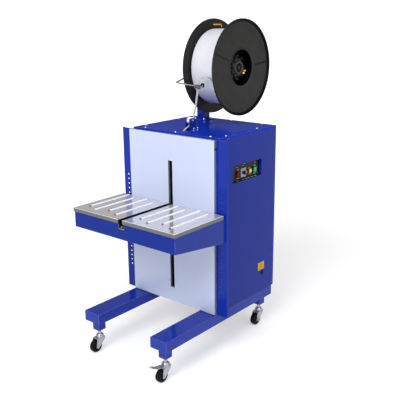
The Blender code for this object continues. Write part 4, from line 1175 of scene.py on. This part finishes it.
def coil():
    """Strap wound in turns side by side: a narrow groove between turns and a little unevenness."""
    low, high = span("strap_coil")
    outer = (high.z - low.z) / 2
    width = high.x - low.x
    pitch = width / COIL_TURNS
    draw = random.Random(3)
    profile = [(low.x, COIL_RADIUS)]
    for k in range(COIL_TURNS):
        start = low.x + pitch * k
        top = outer + draw.uniform(-0.0007, 0.0)
        profile += [(start + 0.0002, top - 0.0016), (start + 0.0010, top - 0.0002), (start + pitch / 2, top),
                    (start + pitch - 0.0010, top - 0.0002), (start + pitch - 0.0002, top - 0.0016)]
    profile.append((high.x, COIL_RADIUS))

    def wander(along, radius, angle):
        if radius < outer - 0.01:
            return along, radius
        y = math.cos(angle)
        z = math.sin(angle)
        sway = 0.0010 * noise.noise(Vector((y * 1.3, z * 1.3, along * 9)))
        drop = 0.0004 * noise.noise(Vector((y * 2.2, z * 2.2, along * 40 + 5)))
        return along + sway * (1 - abs(2 * (along - low.x) / width - 1) ** 6), radius - abs(drop)
    turned("strap_coil_turns", profile, REEL, 180, "reel", "strap_white", None, ("strap_coil",), 60, wander)


def core():
    low, high = span("reel_core")
    left = low.x
    right = high.x
    radius = (high.z - low.z) / 2
    profile = [(left, 0.0158), (left, radius - 0.0005), (left + 0.0005, radius), (right - 0.0005, radius),
               (right, radius - 0.0005), (right, radius - 0.0025), (right - 0.001, radius - 0.003),
               (left + 0.008, radius - 0.003), (left + 0.006, radius - 0.005), (left + 0.006, 0.024),
               (left + 0.008, 0.022), (0.0855, 0.022), (0.086, 0.0215), (0.086, 0.0158)]
    turned("reel_core_skin", profile, REEL, 96, "reel", "disc_plastic", None, ("reel_core",), 45)


def nut():
    """A star nut with eight lobes, ribs, pockets painted black as painted shade and a raised hub, two yellow
    clips and a red dot.
    """
    low, high = span("clamp_nut")
    base = low.x
    top = high.x
    outline = []
    for angle in [2 * math.pi * k / 160 for k in range(160)]:
        radius = 0.0536 + 0.0090 * math.tanh(1.6 * math.cos(8 * angle)) / math.tanh(1.6)
        outline.append((REEL_Y + radius * math.cos(angle), REEL_Z + radius * math.sin(angle)))
    star = bmesh.new()
    prism(star, outline, "X", base + 0.0001, base + 0.0204)
    bore = bmesh.new()
    rod(bore, -0.2, 0.2, HUB_BORE, (base, REEL_Y, REEL_Z), 64)
    bm = carve(star, bore)
    bevel_sharp(bm, 0.0022, 3, 60)
    lathe(bm, rounded([(base + 0.018, 0.0230), (base + 0.018, 0.0395), (base + 0.0230, 0.0370),
                       (top - 0.001, 0.0335), (top, 0.0322), (top, 0.0250), (top - 0.0015, 0.0230)], 0.0014),
          REEL)
    for angle in [math.radians(45 * k + 22.5) for k in range(8)]:
        tube(bm, [(base + 0.0205, REEL_Y + r * math.cos(angle), REEL_Z + r * math.sin(angle))
                  for r in (0.0385, 0.0430, 0.0470)], 0.0016, 8)
    piece("clamp_nut_star", bm, "nut", "disc_plastic", NUT_PLASTIC, ("clamp_nut",), 40)
    clips = bmesh.new()
    for y, z, size in ((0.4640, 1.3590, 0.0052), (0.4745, 1.3700, 0.0040)):
        add_box(clips, (base + 0.0190, top - 0.0015), both_ways(y, size), both_ways(z, size), 0.0018, 3)
    piece("nut_clips", clips, "nut", "button_yellow", CLIP_YELLOW)
    turned("nut_dot", rounded([(0.0190, 0.0), (0.0190, 0.0040), (0.0238, 0.0036), (0.0238, 0.0)], 0.0008),
           (base, 0.4665, 1.3815), 20, "nut", "button_red", RED_PLUG)
    # Black discs over the pockets, as painted shade in their hollows.
    pockets = bmesh.new()
    for y, z in circle(0.0490, 8, (REEL_Y, REEL_Z)):
        lathe(pockets, [(0.0203, 0.0), (0.0203, 0.0080), (0.0207, 0.0084), (0.0207, 0.0102),
                        (0.0211, 0.0098), (0.0212, 0.0086), (0.0206, 0.0078), (0.0206, 0.0)],
              (base, y, z), 24)
    piece("nut_pockets", pockets, "nut", "disc_plastic", BLACK_AND_SHADE)


def spindle():
    """The turned spindle, the black cap on its end, which stands for the shade in the hub's hollow centre,
    and the bolt through the back of the post.
    """
    low, high = span("reel_spindle")
    root = low.x
    tip = high.x
    turned("reel_spindle_skin", rounded([
        (root, 0.0), (root, 0.0199), (root + 0.0092, 0.0199), (root + 0.0092, 0.0279), (-0.0801, 0.0279),
        (-0.0801, 0.0151), (tip - 0.002, 0.0151), (tip, 0.0130), (tip, 0.0060), (tip - 0.004, 0.0040),
        (tip - 0.004, 0.0)], 0.0008), REEL, 64, "cabinet", "machined_steel", None, ("reel_spindle",), 45)
    # The black cap is painted shade for the dark hollow at the hub's centre.
    turned("spindle_cap", rounded([
        (tip - 0.003, 0.0), (tip - 0.003, 0.0149), (tip + 0.0004, 0.0149), (tip + 0.0012, 0.0138),
        (tip + 0.0012, 0.0090), (tip - 0.0004, 0.0070), (tip - 0.0004, 0.0)], 0.0006),
        REEL, 48, "cabinet", "black_plastic", BLACK_AND_SHADE)
    seat = (span("reel_post")[0].x + 0.0152, REEL_Y, REEL_Z)
    bm = bmesh.new()
    stamp(bm, hex_head(0.019, 0.0080, 0.0150), facing("-X", seat))
    piece("spindle_bolt", bm, "cabinet", "zinc", SCREW_STEEL)


def wire():
    """One bent wire with an eye, a leg, a tight corner and a curled end, its sleeve and a runner."""
    thick = 0.0040
    curl = 0.0075
    x = span("guide_arm")[0].x + 0.0034
    centre = Vector((x, REEL_Y, REEL_Z))
    corner = Vector((x, 0.168, 1.322))
    tip = Vector((0.047, 0.176, 1.309))
    out = (corner - centre).normalized()
    along = (tip - corner).normalized()
    eye = Vector((tip.x + 0.004, tip.y, tip.z + curl))
    loop = [eye + Vector((curl * math.sin(a), 0.0006 * k / 8, -curl * math.cos(a)))
            for k, a in enumerate([math.radians(18 * k) for k in range(17)])]
    path = [centre + out * 0.0285] + curve(corner - out * 0.010, corner, corner + along * 0.010, 8)
    bm = bmesh.new()
    lathe(bm, rounded([(-0.0036, 0.0206), (-0.0036, 0.0296), (0.0036, 0.0296), (0.0036, 0.0206)], 0.0010),
          centre, 48)
    tube(bm, path + [tip - along * 0.006] + loop, thick * 0.97, 16)
    piece("guide_wire", bm, "arm", "machined_steel", WIRE_STEEL, ("guide_arm",), 50)
    bm = bmesh.new()
    add_box(bm, (-0.0165, 0.0165), (-0.0066, 0.0052), (-0.0115, 0.0078), 0.0022, 3)
    place = Matrix.Translation(corner.lerp(tip, 0.845)) @ Matrix.Rotation(math.radians(4.6), 4, "Y")
    bmesh.ops.transform(bm, matrix=place, verts=bm.verts)
    piece("guide_runner", bm, "arm", "black_plastic", SLEEVE_GREY)
    bm = bmesh.new()
    tube(bm, loop[2:], thick * 1.12)
    piece("guide_end_sleeve", bm, "arm", "black_plastic", DARK_GAP)


def strap_path():
    """From the coil past the runner, round the inlet roller, over the guide and down to the rollers."""
    path = list(STRAP_POINTS)
    for y, z, radius, first, sweep in STRAP_ARCS:
        for angle in [math.radians(first + sweep * k / 12) for k in range(13)]:
            path.append((0.0, y + radius * math.cos(angle), z + radius * math.sin(angle)))
    return path + STRAP_END


def strap():
    """The flat band with a softly rounded section, swept along its route."""
    half = 0.0059
    thick = 0.00038
    under = [(-half + 0.0004, -thick), (-half / 2, -thick), (0.0, -thick), (half / 2, -thick),
             (half - 0.0004, -thick)]
    section = [(-half, 0.0)] + under + [(half, 0.0)] + [(a, thick) for a, _ in reversed(under)]
    path = soften(strap_path(), 4)
    bm = bmesh.new()
    rings = []
    for point, along in zip(path, directions(path)):
        across = Vector((1.0, 0.0, 0.0))
        across = (across - along * across.dot(along)).normalized()
        up = along.cross(across)
        rings.append([bm.verts.new(point + across * a + up * b) for a, b in section])
    join_rings(bm, rings)
    # The run takes a darker copy of the strap's white, as painted shade.
    piece("strap_run_band", bm, "cabinet", "strap_white", STRAP_RUN_SHADED, ("strap_run",), 50)


def inlet():
    """The grooved inlet roller and the nuts on its axle."""
    low, high = span("inlet_roller")
    centre = (low + high) / 2
    half = (high.x - low.x) / 2
    radius = (high.z - low.z) / 2
    side = [(-half, 0.0042), (-half, radius - 0.0012), (-half + 0.0014, radius), (-0.004, radius - 0.0003)]
    turned("inlet_roller_skin", rounded(side + [(-a, r) for a, r in reversed(side)], 0.0008), centre, 64,
           "inlet_wheel", "white_nylon", None, ("inlet_roller",), 40)
    bm = bmesh.new()
    for axis, x in (("+X", 0.0141), ("-X", -0.0141)):
        flat = Matrix.Diagonal((0.6, 1.0, 1.0, 1.0))
        stamp(bm, hex_head(0.0085, 0.0016, 0.0062), facing(axis, (x, centre.y, centre.z)) @ flat)
    piece("inlet_axle_nuts", bm, "cabinet", "zinc", SCREW_STEEL)


# ---- mechanism inside ---------------------------------------------------------------------------
def build_mechanism():
    for node in ("mechanism_frame", "drive_motor", "strap_pool_box", "electrical_box", "sealing_anvil"):
        refine(node)
    for node in ("cam_shaft", "feed_roller", "pinch_roller"):
        refine(node, 0.0004)


# ---- studio -------------------------------------------------------------------------------------
def build_studio():
    build_camera()
    build_stage()
    build_world()
    area_light("key_light", (1.2, -4.3, 4.6), (0.0, -0.1, 0.7), 3.6, 258.0)
    area_light("side_light", (4.6, -0.6, 2.6), (0.2, 0.0, 0.7), 3.0, 55.0)
    bpy.context.scene.view_settings.view_transform = "Standard"


def build_stage():
    """A pale floor that curves up far away; it glows, and less for the machine than for the camera."""
    made = Surface("stage_floor", (0.74, 0.74, 0.745), 0.8, 0.0, 0.006, 0.4, 0.03)
    made.bump(made.noise(30.0, 2.0), 0.02, 0.002)
    away = made.new("ShaderNodeVectorMath", {0: made.coords}, operation="LENGTH").outputs["Value"]
    seen = made.new("ShaderNodeLightPath").outputs["Is Camera Ray"]
    glow = made.times(made.ramp(away, 1.6, 6.0, 0.42, 0.90), made.ramp(seen, 0.0, 1.0, 0.56, 1.0))
    made.feed(made.shader, {"Emission Color": (1.0, 1.0, 1.0, 1.0), "Emission Strength": glow})
    turns = [math.radians(9 * k) for k in range(1, 11)]
    rise = [(3.0 - 3.0 * math.cos(a), 18.0 + 3.0 * math.sin(a)) for a in turns]
    bm = bmesh.new()
    lathe(bm, [(0.0, 0.0), (0.0, 18.0)] + rise, (0.0, 0.0, -0.0005), 96, "Z", closed=False)
    bmesh.ops.recalc_face_normals(bm, faces=bm.faces)
    mesh = mesh_of(bm)
    mesh.shade_smooth()
    mesh.materials.append(made.material)
    floor = bpy.data.objects.new("studio_floor", mesh)
    bpy.context.scene.collection.objects.link(floor)


def area_light(name, place, target, size, energy):
    light = bpy.data.lights.new(name, "AREA")
    light.shape = "DISK"
    light.size = size
    light.energy = energy
    made = bpy.data.objects.new(name, light)
    bpy.context.scene.collection.objects.link(made)
    made.location = place
    made.rotation_euler = (Vector(target) - Vector(place)).to_track_quat("-Z", "Y").to_euler()


def build_world():
    """A soft bright ceiling above a dim band, seen directly as plain white."""
    world = bpy.data.worlds.new("studio_world")
    bpy.context.scene.world = world
    world.use_nodes = True
    tree = world.node_tree
    coords = tree.nodes.new("ShaderNodeTexCoord")
    split = tree.nodes.new("ShaderNodeSeparateXYZ")
    ramp = tree.nodes.new("ShaderNodeValToRGB")
    seen = tree.nodes.new("ShaderNodeLightPath")
    plain = tree.nodes.new("ShaderNodeMix")
    plain.data_type = "RGBA"
    plain.inputs[7].default_value = (1.0, 1.0, 1.0, 1.0)
    stops = ((0.0, 1.0), (0.062, 1.0), (0.09, 0.14), (0.20, 0.14), (0.27, 0.32), (0.55, 0.32), (0.78, 0.60),
             (1.0, 0.75))
    while len(ramp.color_ramp.elements) < len(stops):
        ramp.color_ramp.elements.new(0.5)
    for element, (place, level) in zip(ramp.color_ramp.elements, stops):
        element.position = place
        element.color = (level, level, level, 1.0)
    background = tree.nodes["Background"].inputs
    background["Strength"].default_value = 1.0
    tree.links.new(coords.outputs["Generated"], split.inputs[0])
    tree.links.new(split.outputs[2], ramp.inputs[0])
    tree.links.new(seen.outputs["Is Camera Ray"], plain.inputs[0])
    tree.links.new(ramp.outputs[0], plain.inputs[6])
    tree.links.new(plain.outputs[2], background["Color"])


def build_camera():
    yaw, pitch, roll = math.radians(39.84), math.radians(15.91), math.radians(-0.53)
    forward = Vector((-math.sin(yaw) * math.cos(pitch), math.cos(yaw) * math.cos(pitch), -math.sin(pitch)))
    level = Vector((math.cos(yaw), math.sin(yaw), 0.0))
    upright_axis = level.cross(forward)
    right = level * math.cos(roll) + upright_axis * math.sin(roll)
    up = upright_axis * math.cos(roll) - level * math.sin(roll)
    data = bpy.data.cameras.new("photo_camera")
    data.lens = 58.86
    data.sensor_width = 36.0
    data.clip_end = 100.0
    camera = bpy.data.objects.new("photo_camera", data)
    bpy.context.scene.collection.objects.link(camera)
    turn = Matrix((right, up, -forward)).transposed().to_4x4()
    camera.matrix_world = Matrix.Translation(Vector((2.110, -2.318, 1.6555)) + SHIFT) @ turn
    bpy.context.scene.camera = camera


build_studio()
build_base()
build_cabinet()
build_controls()
build_table()
build_reel()
build_mechanism()
